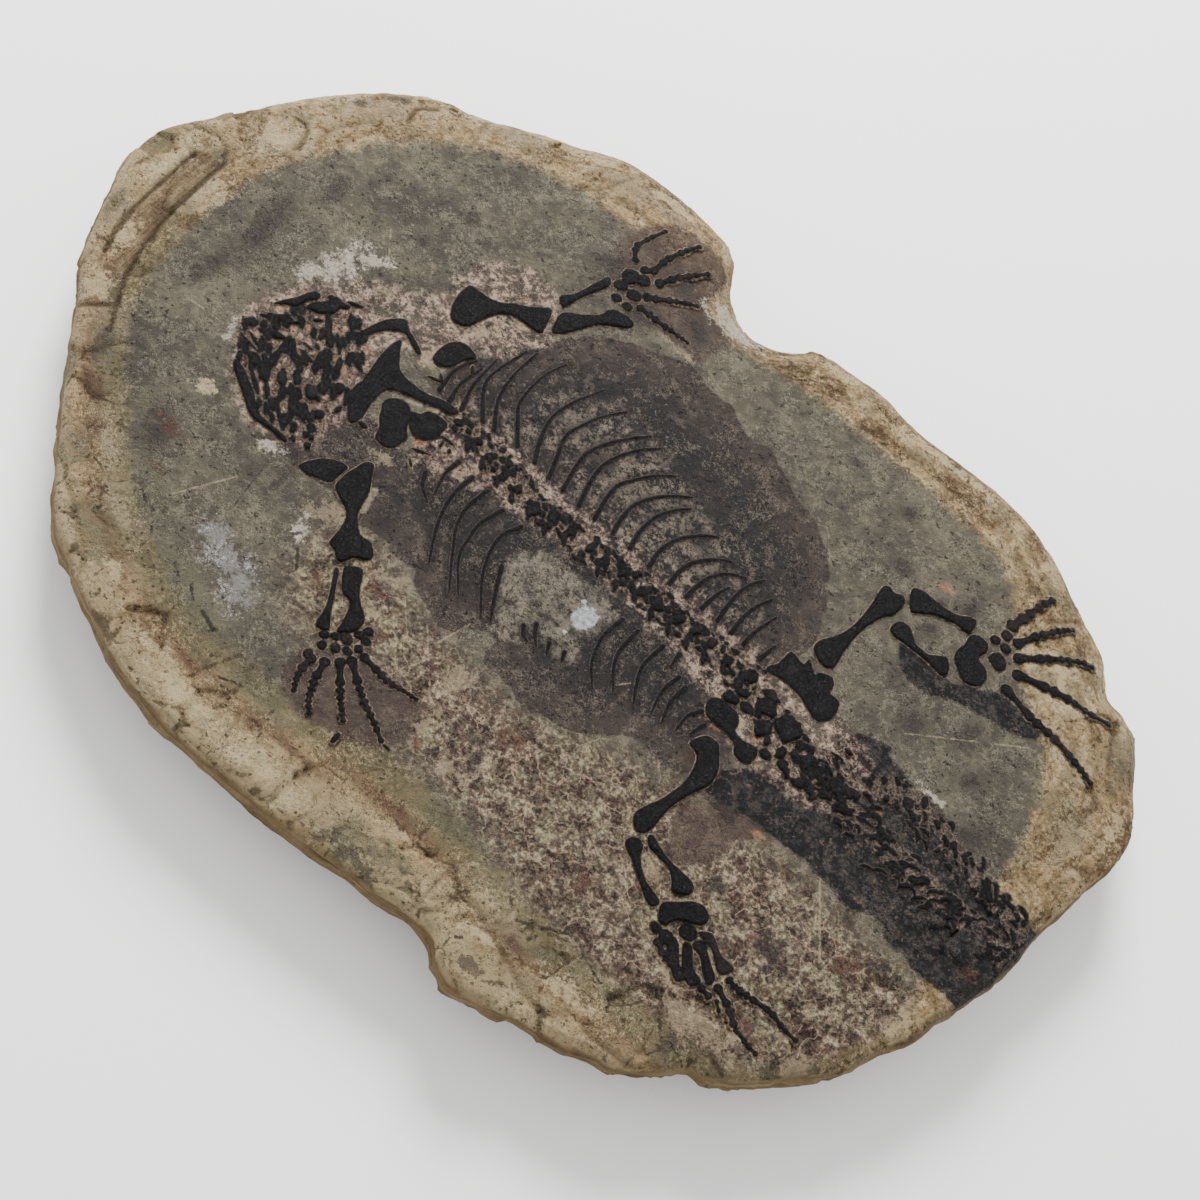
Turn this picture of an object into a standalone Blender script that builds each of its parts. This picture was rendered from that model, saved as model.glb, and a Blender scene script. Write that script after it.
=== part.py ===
"""A fossil reptile lying in one half of a split mudstone nodule.

The slab is one stone: a flat split face, a broken rim and a convex crust underneath with
a flat patch that it rests on. The bones are thin crushed pieces that lie on the split face.
X runs along the slab towards the cut-off tail, Y towards the slab's back edge, Z up.
"""

import math

import bmesh
import bpy
from mathutils import Vector, noise

COLLECTION = "fossil_reptile_slab"
MM = 0.001

# Driving dimensions in millimetres
SPLIT_FACE_Z = 28.0
GAP = 0.3
LIMB_THICKNESS = 1.7
PLATE_THICKNESS = 1.1
SKULL_THICKNESS = 2.0
JAW_THICKNESS = 1.6
SPINE_THICKNESS = 1.6
DIGIT_THICKNESS = 0.9
EDGE_INSET = 0.35
EDGE_DROP = 0.45
RIB_RADIUS = 0.75
RIB_TIP_RADIUS = 0.35
RIB_FLATTENING = 0.6
WELD = 0.01

# Slab: rim points clockwise from the snout end, seen from above
SEGMENTS = 140
SPLINE_STEPS = 8
SLAB_OUTLINE = [
    (-168, 24), (-160.5, 40), (-152, 58), (-141.5, 77), (-129, 91), (-119, 98), (-109, 100),
    (-100, 105), (-84.5, 113), (-69, 120.5), (-60, 121.8), (-50, 122.5), (-39, 121.5),
    (-27.5, 119.8), (-23.5, 115), (-19.5, 108), (-14, 102.5), (-4, 100.5), (6, 103),
    (9.5, 108.5), (12, 110.5), (20, 111), (35, 111.5), (48, 109.5), (75, 110), (93, 107),
    (108.5, 99.5), (122, 91.5), (131.5, 85.5), (138, 76.5), (146, 75), (152, 69.5), (158, 58),
    (163, 48.5), (165, 39), (164, 29.5), (159.5, 10.5), (157.5, 0), (157, -8), (155.5, -17),
    (153, -25), (149.5, -34), (147.5, -42), (142.5, -49), (139.5, -57.5), (135, -65),
    (126, -75), (117, -83), (111, -87.5), (106.5, -86.5), (98, -95), (91.5, -99.5), (83, -100.5),
    (76, -103), (65, -105), (54, -109), (44.5, -109.5), (38.5, -106), (34, -102), (17, -103.5),
    (-1, -104.8), (-19, -105.2), (-39, -104.8), (-59, -102.8), (-75, -98), (-86, -92.5),
    (-98, -86), (-109, -78.5), (-122.5, -62.5), (-131.5, -50), (-142.5, -34.5), (-154, -19.5),
    (-161, -4.5), (-167, 12),
]

# Section through the rim from the resting patch up to the split face: distance in from the
# rim and height, first where the edge is steep, then where the back edge slopes as a crust
RIM_SECTION = [
    ((50.0, 0.0), (50.0, 0.0)),
    ((36.0, 1.2), (36.0, 1.2)),
    ((21.0, 4.2), (20.0, 4.0)),
    ((9.0, 8.8), (9.0, 8.0)),
    ((2.2, 13.8), (2.5, 12.0)),
    ((0.0, 18.5), (0.0, 16.0)),
    ((0.3, 22.5), (0.6, 19.5)),
    ((1.2, 25.6), (3.0, 22.8)),
    ((2.8, 27.3), (6.5, 25.4)),
    ((6.0, 28.0), (11.5, 27.1)),
    ((11.0, 28.0), (17.0, 27.9)),
    ((24.0, 28.0), (24.0, 28.0)),
]
SHOULDER_RING = 7
MEDIAL_HALF_LENGTH = 92.0
MEDIAL_SLOPE = 0.12
RIM_MARGIN = 2.2
RIM_MARGIN_LEAN = 1.1
RIM_LEAN_ANGLE = math.radians(240.0)
CRUST_FROM_Y = 35.0
CRUST_TO_Y = 85.0
ROUGHNESS = 0.7
ROUGHNESS_SCALE = 0.045
NOISE_ROW = 7.3

# Low places and lumps of the rim: centre x, centre y, reach in x, reach in y, height
RIM_RELIEF = [
    (-152, 12, 3.6, 17, -3.0),
    (-161.5, 10, 3.5, 15, 0.9),
    (-140, 66, 9, 10, 0.8),
    (-142, 50, 5, 4, -1.6),
    (-8, 98, 9, 6, -3.5),
    (57, -101, 17, 7, -2.4),
    (48, -107, 6, 3, 1.2),
    (155, 56, 8, 12, -1.4),
    (-146, -32, 9, 6, -1.3),
    (-124, -52, 6, 8, -1.0),
    (100, -90, 10, 6, -1.2),
]

# Bones that are plates with an outline of their own: name, thickness, points
PLATES = [
    ("skull", SKULL_THICKNESS, [
        (-107.6, 3.4), (-105.5, 6), (-102.5, 7.5), (-101.2, 12), (-99.5, 15.5), (-95.5, 17.8),
        (-92.5, 19.5), (-89.8, 21.5), (-90.3, 18), (-88, 15.5), (-85.6, 12.5), (-82.8, 12.8),
        (-80.5, 10.5), (-77.4, 7), (-76.6, 3.5), (-76.3, -2.5), (-73.6, -7.5), (-74.6, -9.8),
        (-75.2, -13.5), (-77.8, -16), (-78.5, -19.5), (-80.5, -22.6), (-85, -22.8), (-87, -20.5),
        (-90, -20), (-92.5, -17.5), (-96.5, -16), (-99.5, -14), (-102.5, -12), (-101.5, -9.5),
        (-105, -9.8), (-109.5, -8.5), (-110.5, -5.8), (-109.8, -2.5), (-107.4, -0.5)]),
    ("lower_jaw_far", JAW_THICKNESS, [
        (-108.4, 4.6), (-107.4, 7.3), (-105.2, 11), (-104, 14.2), (-102.6, 16.2), (-101, 16.2),
        (-100.6, 14.4), (-102.2, 12), (-103.2, 8.6), (-105.8, 7)]),
    ("lower_jaw_near", JAW_THICKNESS, [
        (-104.5, -15.4), (-102.8, -18), (-100, -19.9), (-96.5, -22), (-94.4, -23.4),
        (-89.8, -26), (-83.7, -25.6), (-78.6, -25.8), (-79.2, -24.2), (-84.5, -24),
        (-88.5, -23.9), (-91.5, -22), (-94.5, -19.6), (-98, -17.8), (-101, -16)]),
    ("clavicle_far", PLATE_THICKNESS, [
        (-85.6, 14.6), (-85, 18), (-83.4, 22.4), (-81, 25.4), (-79, 26.8), (-76.7, 25),
        (-72.6, 23.4), (-69.4, 21.4), (-70.6, 20.6), (-76, 23), (-77.5, 22.6), (-80.4, 20.8),
        (-82.8, 17.2), (-84, 14)]),
    ("interclavicle", PLATE_THICKNESS, [
        (-76.2, 20.9), (-77.1, 17), (-77, 12), (-76.1, 7), (-75.3, 1), (-74.2, -3),
        (-72.2, -7), (-69.6, -9), (-68.4, -5.3), (-69.4, 0), (-69, 5.6), (-66, 7.8),
        (-59.4, 9.8), (-55.5, 11.4), (-51.4, 12.1), (-50.6, 14.6), (-55.8, 14.5),
        (-60, 12.9), (-66, 12.4), (-70.4, 13.4), (-73.6, 17.2)]),
    ("coracoid_far", PLATE_THICKNESS, [
        (-57, 8.4), (-54.3, 9.6), (-50.4, 9.4), (-49.8, 6), (-50.2, 3), (-53.3, 0.6),
        (-56.2, 1.8), (-57.6, 5)]),
    ("coracoid_near", PLATE_THICKNESS, [
        (-66, 5.4), (-62, 6), (-58.8, 4.4), (-57.8, 0.8), (-55.8, -1.6), (-56.2, -6.4),
        (-59, -8.2), (-62.2, -7.4), (-63, -4.6), (-65.4, -1.6), (-66.8, 2)]),
    ("scapula_far", PLATE_THICKNESS, [
        (-66.6, 27.4), (-66.2, 22.4), (-62.6, 22.2), (-60.6, 24.6), (-59.2, 28.6),
        (-57.5, 31.4), (-62.2, 32.6), (-65.2, 31)]),
    ("scapula_near", PLATE_THICKNESS, [
        (-71.4, -27.6), (-69.4, -24), (-67.4, -21.6), (-64.4, -20), (-61.6, -19.6),
        (-61.6, -22.6), (-62, -26.4), (-65, -27.8), (-68.2, -28.8), (-70.6, -28.8)]),
    ("humerus_far", LIMB_THICKNESS, [
        (-73.4, 48.3), (-73.7, 42.7), (-72.1, 38), (-69.6, 35.8), (-66, 36.8), (-64.5, 40),
        (-63, 44.7), (-60.9, 47.8), (-57.3, 49.5), (-50.2, 49.8), (-49.6, 51.8), (-50.8, 56.6),
        (-52.2, 58.8), (-54.3, 57.4), (-56.8, 55.2), (-60.4, 52.9), (-64.5, 49.8),
        (-69.6, 48.8)]),
    ("radius_far", LIMB_THICKNESS, [
        (-49.1, 60.2), (-48.6, 55.6), (-47.6, 53.2), (-46.2, 53.2), (-43.2, 57.2), (-40, 63.4),
        (-36, 67), (-32.4, 69.5), (-32, 71.8), (-34.5, 72.6), (-39.6, 71.3), (-41.2, 67),
        (-45.2, 63.4)]),
    ("ulna_far", LIMB_THICKNESS, [
        (-52.9, 63.8), (-49.9, 61.5), (-49, 65), (-47.8, 69), (-44.8, 76.6), (-46.7, 79.2),
        (-48.5, 74), (-50.3, 68)]),
    ("humerus_near", LIMB_THICKNESS, [
        (-60.4, -26.4), (-60.8, -22.4), (-60, -18.4), (-59.2, -15), (-57, -14.2), (-55, -17.6),
        (-53, -20.8), (-51.8, -25), (-50.6, -28.8), (-48.6, -31.2), (-46.2, -32.8),
        (-42.8, -32.8), (-40, -35.4), (-40.4, -37.6), (-43.4, -39.2), (-44.8, -42.2),
        (-46.6, -42.6), (-48.6, -41), (-51, -40.2), (-51.4, -36), (-52.2, -32), (-54, -29.8),
        (-57, -28.4)]),
    ("radius_near", LIMB_THICKNESS, [
        (-43.4, -43.4), (-42.4, -41.6), (-39.5, -40.2), (-36.8, -44.6), (-34.2, -47.8),
        (-30.6, -50.2), (-29.4, -53), (-30.2, -56), (-33.2, -58.6), (-34, -55), (-35.9, -49.8),
        (-39.5, -48.8)]),
    ("ulna_near", LIMB_THICKNESS, [
        (-45.2, -44.8), (-42.8, -49), (-39.9, -54.8), (-38.7, -60.4), (-36.4, -60.6),
        (-35, -59.4), (-37.6, -55.6), (-39.6, -52), (-42, -48), (-44, -44.6)]),
    ("pelvis_far", PLATE_THICKNESS, [
        (60.6, 20.8), (65.2, 19.8), (65.7, 22.3), (69.3, 19.8), (70.3, 21.3), (73.4, 22.3),
        (75.2, 20.6), (75.6, 18.2), (79, 17.8), (80.3, 14.2), (79.5, 11), (77.4, 9),
        (73.4, 10), (69.8, 11.6), (65.7, 12), (62.7, 12), (58.8, 11.2), (58.4, 13),
        (60, 15.7)]),
    ("pelvis_near", PLATE_THICKNESS, [
        (52, -5.2), (54.6, -3.8), (59.6, -4), (61.8, -6.4), (62.4, -8.8), (65.6, -9.4),
        (69.4, -8.6), (71, -11), (70, -14.2), (66.2, -14.4), (64.2, -12), (61, -10.8),
        (57.4, -10.8), (54, -10.4), (52, -8)]),
    ("femur_far", LIMB_THICKNESS, [
        (68.8, 54), (69.3, 55.8), (70.8, 56.3), (72.3, 55.5), (74.4, 56.6), (75.9, 55.8),
        (76.6, 53.6), (76, 49.9), (74, 46.8), (72.3, 41.7), (71.6, 36.6), (71.6, 31.5),
        (72.3, 26.4), (71.8, 24.2), (69.3, 23.2), (64.9, 25.4), (64.7, 29), (67.2, 33),
        (69, 38.2), (69.5, 44.3), (69.3, 49.4)]),
    ("tibia_far", LIMB_THICKNESS, [
        (75.9, 61), (78.5, 62), (85, 61.9), (89.7, 62.7), (93.1, 64.9), (95.2, 64.4),
        (95.3, 60), (90.7, 59.8), (85, 58), (81.5, 55.5), (79.2, 54.1), (76.8, 56.8),
        (75.7, 59.6)]),
    ("fibula_far", LIMB_THICKNESS, [
        (78.2, 49.4), (80.5, 50.2), (82.6, 49.4), (85, 47.3), (89.7, 46.8), (92.8, 48.9),
        (94.8, 49.7), (96.8, 47.4), (97.4, 45.3), (95.8, 44), (90.2, 44.8), (83.6, 44.8),
        (79, 44.5), (77.4, 46.3)]),
    ("ankle_far", LIMB_THICKNESS, [
        (96.2, 56.6), (96, 60), (98, 61.8), (101, 61.4), (102.3, 59), (101.5, 56.7),
        (102.3, 55.3), (105, 54.4), (106.8, 51.5), (105.6, 48.2), (102, 46.9), (98.9, 48.8),
        (96.3, 51), (95.5, 53.8)]),
    ("femur_near", LIMB_THICKNESS, [
        (55, -20), (55.7, -17.4), (57.6, -14.8), (61, -14.7), (63.4, -17.6), (65.4, -20.8),
        (66.1, -25.7), (63.9, -30.8), (62, -37), (61.6, -42), (61.5, -46.2), (60, -48.6),
        (58, -48.6), (55.8, -46), (56.1, -43), (58.6, -37.4), (60.3, -30.8), (60.2, -25.7),
        (58.6, -21.4)]),
    ("tibia_near", LIMB_THICKNESS, [
        (62, -47.6), (63.2, -46.9), (66.7, -48.4), (70.8, -49.4), (78, -50.1), (79.7, -52.2),
        (79, -54.2), (76.6, -55.6), (75.2, -55.6), (73.4, -53), (70.8, -51.2), (66.5, -50.6),
        (63.4, -49.9)]),
    ("fibula_near", LIMB_THICKNESS, [
        (58.3, -52.2), (60, -50.2), (62.5, -50.8), (64.2, -54.3), (68.8, -58), (74.5, -59.7),
        (74.2, -62.2), (71.8, -62.2), (66.7, -58.8), (62.7, -56), (59.2, -54.2)]),
    ("ankle_near", LIMB_THICKNESS, [
        (75.4, -60.6), (76.2, -58.6), (78.2, -57), (81, -54.4), (84, -53.2), (86.4, -54.2),
        (87.4, -56.4), (86.2, -58.2), (83, -59.8), (80.6, -61.6), (79.6, -64.2),
        (77.4, -64.2)]),
]

# Ribs on the far side of the spine, neck to hip: tip, bends and spine end
RIBS_FAR = [
    [(-54.3, 30), (-55.6, 22.2), (-54.6, 16.4)],
    [(-53.1, 35), (-52.9, 24.3), (-50.4, 16.6)],
    [(-48.7, 43.2), (-51.2, 30.4), (-49.5, 24.3), (-44.6, 17.2)],
    [(-46.2, 44.7), (-46.7, 34.5), (-45, 25.3), (-40.6, 17.6)],
    [(-38.2, 47.8), (-40.5, 39.6), (-40.3, 29.4), (-37.4, 24.3), (-32.8, 17.8)],
    [(-25.2, 49), (-29.3, 39.6), (-30.8, 31.4), (-28.8, 23.3), (-26, 17.2)],
    [(-16.5, 48), (-21, 41), (-23.4, 34.5), (-24.4, 29.4), (-21.6, 20.7), (-20, 16)],
    [(-7, 46.5), (-10.6, 42), (-14.7, 35.5), (-17, 29.4), (-16.5, 23.3), (-14.9, 15.4)],
    [(-2.4, 45.7), (-6.5, 41), (-9.6, 35.5), (-11.4, 29.4), (-10.9, 23.3), (-8.8, 15)],
    [(5.7, 41.4), (1, 37), (-2.4, 32), (-4.7, 27.3), (-4.5, 21.7), (-3.2, 15)],
    [(13, 39.3), (8.4, 35.5), (4.6, 31), (2.2, 25.3), (2.3, 19.2), (3.2, 15)],
    [(14.8, 36.2), (11.5, 32.4), (9, 27.3), (8.3, 21.2), (9.3, 14.6)],
    [(25.6, 34.7), (21.5, 31.4), (17.4, 25.8), (15.9, 20.2), (16.4, 14)],
    [(32.8, 31.2), (28.7, 28.4), (25, 23.8), (23.6, 19.2), (23.6, 14)],
    [(38.4, 30), (33.8, 27.3), (30.7, 22.8), (29.7, 17.7), (29.4, 14)],
    [(42.9, 33.3), (40.3, 28.4), (39.4, 22), (40, 14)],
    [(47.8, 30), (45.6, 25), (44.8, 20.2), (44.9, 14)],
    [(51.7, 26.4), (49.8, 18.8), (49.4, 13.4)],
    [(56.3, 19), (55.2, 13)],
]

# Ribs on the near side of the spine, chest to hip: spine end, bends and tip
RIBS_NEAR = [
    [(-41.6, 2.6), (-42, -3), (-40, -10.6)],
    [(-35.4, 2.4), (-35.9, -6.3), (-34.2, -14), (-31.8, -19.7), (-27.8, -26.8)],
    [(-29.8, 2.2), (-30.8, -5.8), (-29.6, -12.5), (-25.7, -19.2), (-18.6, -29.9)],
    [(-23.2, 1.4), (-25.2, -7.9), (-24, -14), (-22.2, -19.7), (-15.4, -28.4)],
    [(-16.5, 1.2), (-18.6, -6.3), (-18.1, -12.5), (-14.7, -20.5), (-8.1, -29.4)],
    [(20.5, -1.6), (19.5, -10.4), (20.1, -14.5), (22, -19.7), (26, -24.8)],
    [(25.8, -1.4), (25.6, -12), (27.7, -17.5), (31.2, -22.2)],
    [(33.3, -1.2), (32.6, -10.5), (34.8, -16.6), (37.3, -21.2)],
    [(42.2, -1.4), (41.2, -13), (42.6, -20.2)],
]

# Hands and feet: thickness-wide digits fanned anticlockwise, then the points behind them
DIGIT_FANS = [
    ("hand_far", 1.1, 0.8, [
        [(-35, 77.4), (-29.4, 77.6), (-22, 78.2), (-16.6, 78.2)],
        [(-34.4, 81.6), (-31, 84.6), (-27.3, 87), (-21.7, 90.6)],
        [(-35.2, 85.6), (-32.6, 91.6), (-30.4, 95.6), (-25.6, 102)],
        [(-38.4, 87.6), (-38.6, 94), (-36.6, 101.6), (-33.4, 108)],
        [(-43, 87.4), (-47, 91.6), (-46.4, 97.4), (-43.6, 104.6)]],
     [(-45.8, 83), (-43, 78), (-41, 74.4), (-36.4, 74)]),
    ("foot_far", 1.2, 0.7, [
        [(109.6, 54), (114.7, 52), (123, 51.6), (131, 50.2), (138.7, 48.5), (147.3, 46.9)],
        [(109.6, 58.4), (116.7, 60), (122.5, 61.9), (129, 63.2), (136, 64.6), (142, 66.2)],
        [(108.8, 62.4), (115.2, 68.8), (119.8, 72.2), (124, 74.4), (130, 76.5)],
        [(106.6, 66.4), (111.2, 75), (116, 81.8), (118.8, 84.7)],
        [(102.8, 69.6), (106.3, 80.6), (108.8, 87.8)]],
     [(101, 65.4), (103.4, 62.6), (104.2, 58.6), (105, 56.2), (107.4, 54.8)]),
    ("hand_near", 1.0, 0.7, [
        [(-33.6, -64.6), (-34.2, -70.8), (-32.8, -75), (-30.7, -79)],
        [(-30.6, -65.2), (-29.2, -71), (-27.8, -75.8), (-23.9, -81.2)],
        [(-27.6, -64.4), (-23.6, -69.8), (-20, -72.8), (-15.6, -76.8)],
        [(-25.4, -61.4), (-20.4, -66), (-16.2, -68.8), (-9.6, -71.2), (-5.5, -74)],
        [(-25.2, -58.4), (-18, -59.8), (-11, -60), (-5, -58.9)]],
     [(-26.4, -56.4), (-29.4, -57), (-33, -60), (-37.4, -62)]),
    ("foot_near", 1.2, 0.7, [
        [(80.6, -68.6), (86.2, -71.4)],
        [(83.8, -67), (87.8, -70.6), (90.6, -73)],
        [(86.6, -65.2), (91, -69.4), (94.6, -71.2), (99.5, -71.5)],
        [(88.8, -62.6), (93.5, -65.6), (98.6, -67.6), (104.4, -70.4), (108.6, -73.6),
         (113.4, -75), (117.4, -75.6)],
        [(89.4, -59.4), (94, -60.8), (98.6, -63.4), (103.4, -65.2), (110, -64.6),
         (116.4, -65.4), (123.4, -65.9)]],
     [(86.6, -59.6), (83.4, -60.8), (81.6, -62.4), (80.6, -65), (78, -65.6), (78.4, -67.4)]),
]

# Spine: vertebra centres and half widths from the neck to the hips, then the tail to the rim
SPINE_LINE = [(-49.4, 11.2), (-40, 10.6), (-30, 9.6), (-20, 8), (0, 7.6), (30, 7), (57, 6.6)]
SPINE_HALF_WIDTHS = [1.6, 2.6, 3.4, 3.8, 4.0, 4.0, 3.4]
TAIL_LINE = [(58.8, 3), (66, 0.6), (74, 0.2), (82, -2), (98, -1.4), (110, 1.4), (122, 0.6),
             (134, -3), (145, -5), (154, -6)]
TAIL_HALF_WIDTHS = [4.4, 5.6, 6.4, 5.4, 6.0, 8.6, 9.4, 8.6, 7.4, 6.6]
VERTEBRA_LENGTH = 6.1
WAIST = 0.72

ROCK = ("mudstone", (0.21, 0.18, 0.14, 1.0), 0.9)
BONE = ("fossil_bone", (0.025, 0.022, 0.022, 1.0), 0.45)


def clear_scene():
    for old in list(bpy.data.objects):
        bpy.data.objects.remove(old, do_unlink=True)


def make_collection():
    collection = bpy.data.collections.new(COLLECTION)
    bpy.context.scene.collection.children.link(collection)
    return collection


def make_material(name, colour, roughness):
    material = bpy.data.materials.new(name)
    material.use_nodes = True
    shader = material.node_tree.nodes["Principled BSDF"]
    shader.inputs["Base Color"].default_value = colour
    shader.inputs["Roughness"].default_value = roughness
    shader.inputs["Metallic"].default_value = 0.0
    return material


def smoothstep(low, high, value):
    t = min(max((value - low) / (high - low), 0.0), 1.0)
    return t * t * (3.0 - 2.0 * t)


def catmull_rom(a, b, c, d, t):
    """A point between b and c on the smooth curve through a, b, c and d."""
    return 0.5 * (2.0 * b + (c - a) * t + (2.0 * a - 5.0 * b + 4.0 * c - d) * t * t
                  + (3.0 * b - 3.0 * c + d - a) * t * t * t)


def smooth_closed(points, steps):
    count = len(points)
    corners = [Vector(point) for point in points]
    curve = []
    for i in range(count):
        around = [corners[(i + k) % count] for k in (-1, 0, 1, 2)]
        curve += [catmull_rom(*around, step / steps) for step in range(steps)]
    return curve


def smooth_open(points, steps):
    corners = [Vector(point) for point in points]
    corners = [2.0 * corners[0] - corners[1]] + corners + [2.0 * corners[-1] - corners[-2]]
    curve = []
    for i in range(len(corners) - 3):
        curve += [catmull_rom(*corners[i:i + 4], step / steps) for step in range(steps)]
    return curve + [corners[-2]]


def evenly_spaced(curve, count):
    """The closed curve cut into count equal lengths."""
    lengths = [0.0]
    for a, b in zip(curve, curve[1:] + curve[:1]):
        lengths.append(lengths[-1] + (b - a).length)
    points = []
    i = 0
    for k in range(count):
        target = lengths[-1] * k / count
        while lengths[i + 1] < target:
            i += 1
        t = (target - lengths[i]) / (lengths[i + 1] - lengths[i])
        points.append(curve[i].lerp(curve[(i + 1) % len(curve)], t))
    return points


def rim_relief(point):
    height = 0.0
    for x, y, reach_x, reach_y, lump in RIM_RELIEF:
        height += lump * math.exp(-((point.x - x) / reach_x) ** 2 - ((point.y - y) / reach_y) ** 2)
    return height


def slab_ring(rim, row):
    """One ring of the slab, moved in from the rim towards the slab's middle line."""
    steep, sloped = RIM_SECTION[row]
    ring = []
    for point in rim:
        crust = smoothstep(CRUST_FROM_Y, CRUST_TO_Y, point.y)
        inset = steep[0] + (sloped[0] - steep[0]) * crust
        height = steep[1] + (sloped[1] - steep[1]) * crust
        reach = MEDIAL_HALF_LENGTH * max(-1.0, min(1.0, point.x / MEDIAL_HALF_LENGTH * 0.8))
        middle = Vector((reach, point.y * MEDIAL_SLOPE))
        margin = RIM_MARGIN_LEAN * math.cos(math.atan2(point.y, point.x) - RIM_LEAN_ANGLE)
        place = point + (middle - point).normalized() * (inset - RIM_MARGIN - margin)
        if 0 < row < len(RIM_SECTION) - 1:
            spot = Vector((place.x, place.y, row * NOISE_ROW)) * ROUGHNESS_SCALE
            lump = ROUGHNESS * noise.noise(spot)
            if row < SHOULDER_RING:
                place += (place - middle).normalized() * lump
            height += min(lump, 0.0) if row >= SHOULDER_RING else lump
            if row >= SHOULDER_RING - 1:
                height += rim_relief(place)
        ring.append(Vector((place.x, place.y, height)) * MM)
    return ring


def make_slab(collection, material):
    rim = evenly_spaced(smooth_closed(SLAB_OUTLINE, SPLINE_STEPS), SEGMENTS)
    rim.reverse()
    bm = bmesh.new()
    circle = bmesh.ops.create_circle(bm, cap_ends=True, segments=SEGMENTS, radius=1.0)
    verts = list(circle["verts"])
    for vert, place in zip(verts, slab_ring(rim, 0)):
        vert.co = place
    edges = list(bm.edges)
    for row in range(1, len(RIM_SECTION)):
        extruded = bmesh.ops.extrude_edge_only(bm, edges=edges)["geom"]
        edges = [item for item in extruded if isinstance(item, bmesh.types.BMEdge)]
        above = []
        for vert in verts:
            above += [e.other_vert(vert) for e in vert.link_edges
                      if e.other_vert(vert) in extruded]
        verts = above
        for vert, place in zip(verts, slab_ring(rim, row)):
            vert.co = place
    bmesh.ops.contextual_create(bm, geom=edges)
    bmesh.ops.recalc_face_normals(bm, faces=bm.faces)
    return finish_mesh("slab", bm, collection, material)


def finish_mesh(name, bm, collection, material):
    mesh = bpy.data.meshes.new(name)
    bm.to_mesh(mesh)
    bm.free()
    mesh.materials.append(material)
    thing = bpy.data.objects.new(name, mesh)
    collection.objects.link(thing)
    return thing


def make_plate(name, thickness, outline, collection, material):
    """A flat bone: a filled outline with thickness, whose top edge is worn down."""
    curve = bpy.data.curves.new(name, "CURVE")
    curve.dimensions = "2D"
    curve.fill_mode = "BOTH"
    curve.extrude = thickness / 2.0 * MM
    spline = curve.splines.new("POLY")
    spline.points.add(len(outline) - 1)
    for point, place in zip(spline.points, outline):
        point.co = (place[0] * MM, place[1] * MM, 0.0, 1.0)
    spline.use_cyclic_u = True
    guide = bpy.data.objects.new(name + "_outline", curve)
    collection.objects.link(guide)
    bpy.context.view_layer.update()
    graph = bpy.context.evaluated_depsgraph_get()
    flat = bpy.data.meshes.new_from_object(guide.evaluated_get(graph))
    bpy.data.objects.remove(guide, do_unlink=True)
    bm = bmesh.new()
    bm.from_mesh(flat)
    bpy.data.meshes.remove(flat)
    bmesh.ops.remove_doubles(bm, verts=bm.verts, dist=WELD * MM)
    bmesh.ops.recalc_face_normals(bm, faces=bm.faces)
    top = [face for face in bm.faces if face.normal.z > 0.9]
    bmesh.ops.inset_region(bm, faces=top, thickness=EDGE_INSET * MM, use_even_offset=False)
    crown = {vert for face in top for vert in face.verts}
    for vert in bm.verts:
        if vert.co.z > 0.0 and vert not in crown:
            vert.co.z -= EDGE_DROP * MM
    bmesh.ops.translate(bm, verts=bm.verts, vec=(0.0, 0.0, (SPLIT_FACE_Z + GAP + thickness / 2.0) * MM))
    return finish_mesh(name, bm, collection, material)


def make_rib(name, line, tip_first, collection, material):
    """A flattened tube along the rib, thinner at its free end."""
    places = smooth_open(line, 2 if len(line) > 3 else 3)
    if tip_first:
        places.reverse()
    curve = bpy.data.curves.new(name, "CURVE")
    curve.dimensions = "3D"
    curve.fill_mode = "FULL"
    curve.bevel_depth = RIB_RADIUS * MM
    curve.bevel_resolution = 1
    curve.use_fill_caps = True
    spline = curve.splines.new("POLY")
    spline.points.add(len(places) - 1)
    for i, (point, place) in enumerate(zip(spline.points, places)):
        point.co = (place.x * MM, place.y * MM, 0.0, 1.0)
        t = i / (len(places) - 1)
        point.radius = 1.0 + (RIB_TIP_RADIUS / RIB_RADIUS - 1.0) * t
    rib = bpy.data.objects.new(name, curve)
    rib.scale.z = RIB_FLATTENING
    rib.location.z = (SPLIT_FACE_Z + GAP + RIB_RADIUS * RIB_FLATTENING) * MM
    curve.materials.append(material)
    collection.objects.link(rib)
    return rib


def fan_outline(wide, narrow, digits, behind):
    """The outline of a hand: up one side of each digit, down the other, then round the wrist."""
    outline = []
    for digit in digits:
        line = [Vector(point) for point in digit]
        right = []
        left = []
        for i, point in enumerate(line):
            along = (line[min(i + 1, len(line) - 1)] - line[max(i - 1, 0)]).normalized()
            across = Vector((along.y, -along.x)) * (wide + (narrow - wide) * i / (len(line) - 1))
            right.append(point + across)
            left.append(point - across)
        outline += right + left[::-1]
    return [tuple(point) for point in outline] + behind


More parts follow.
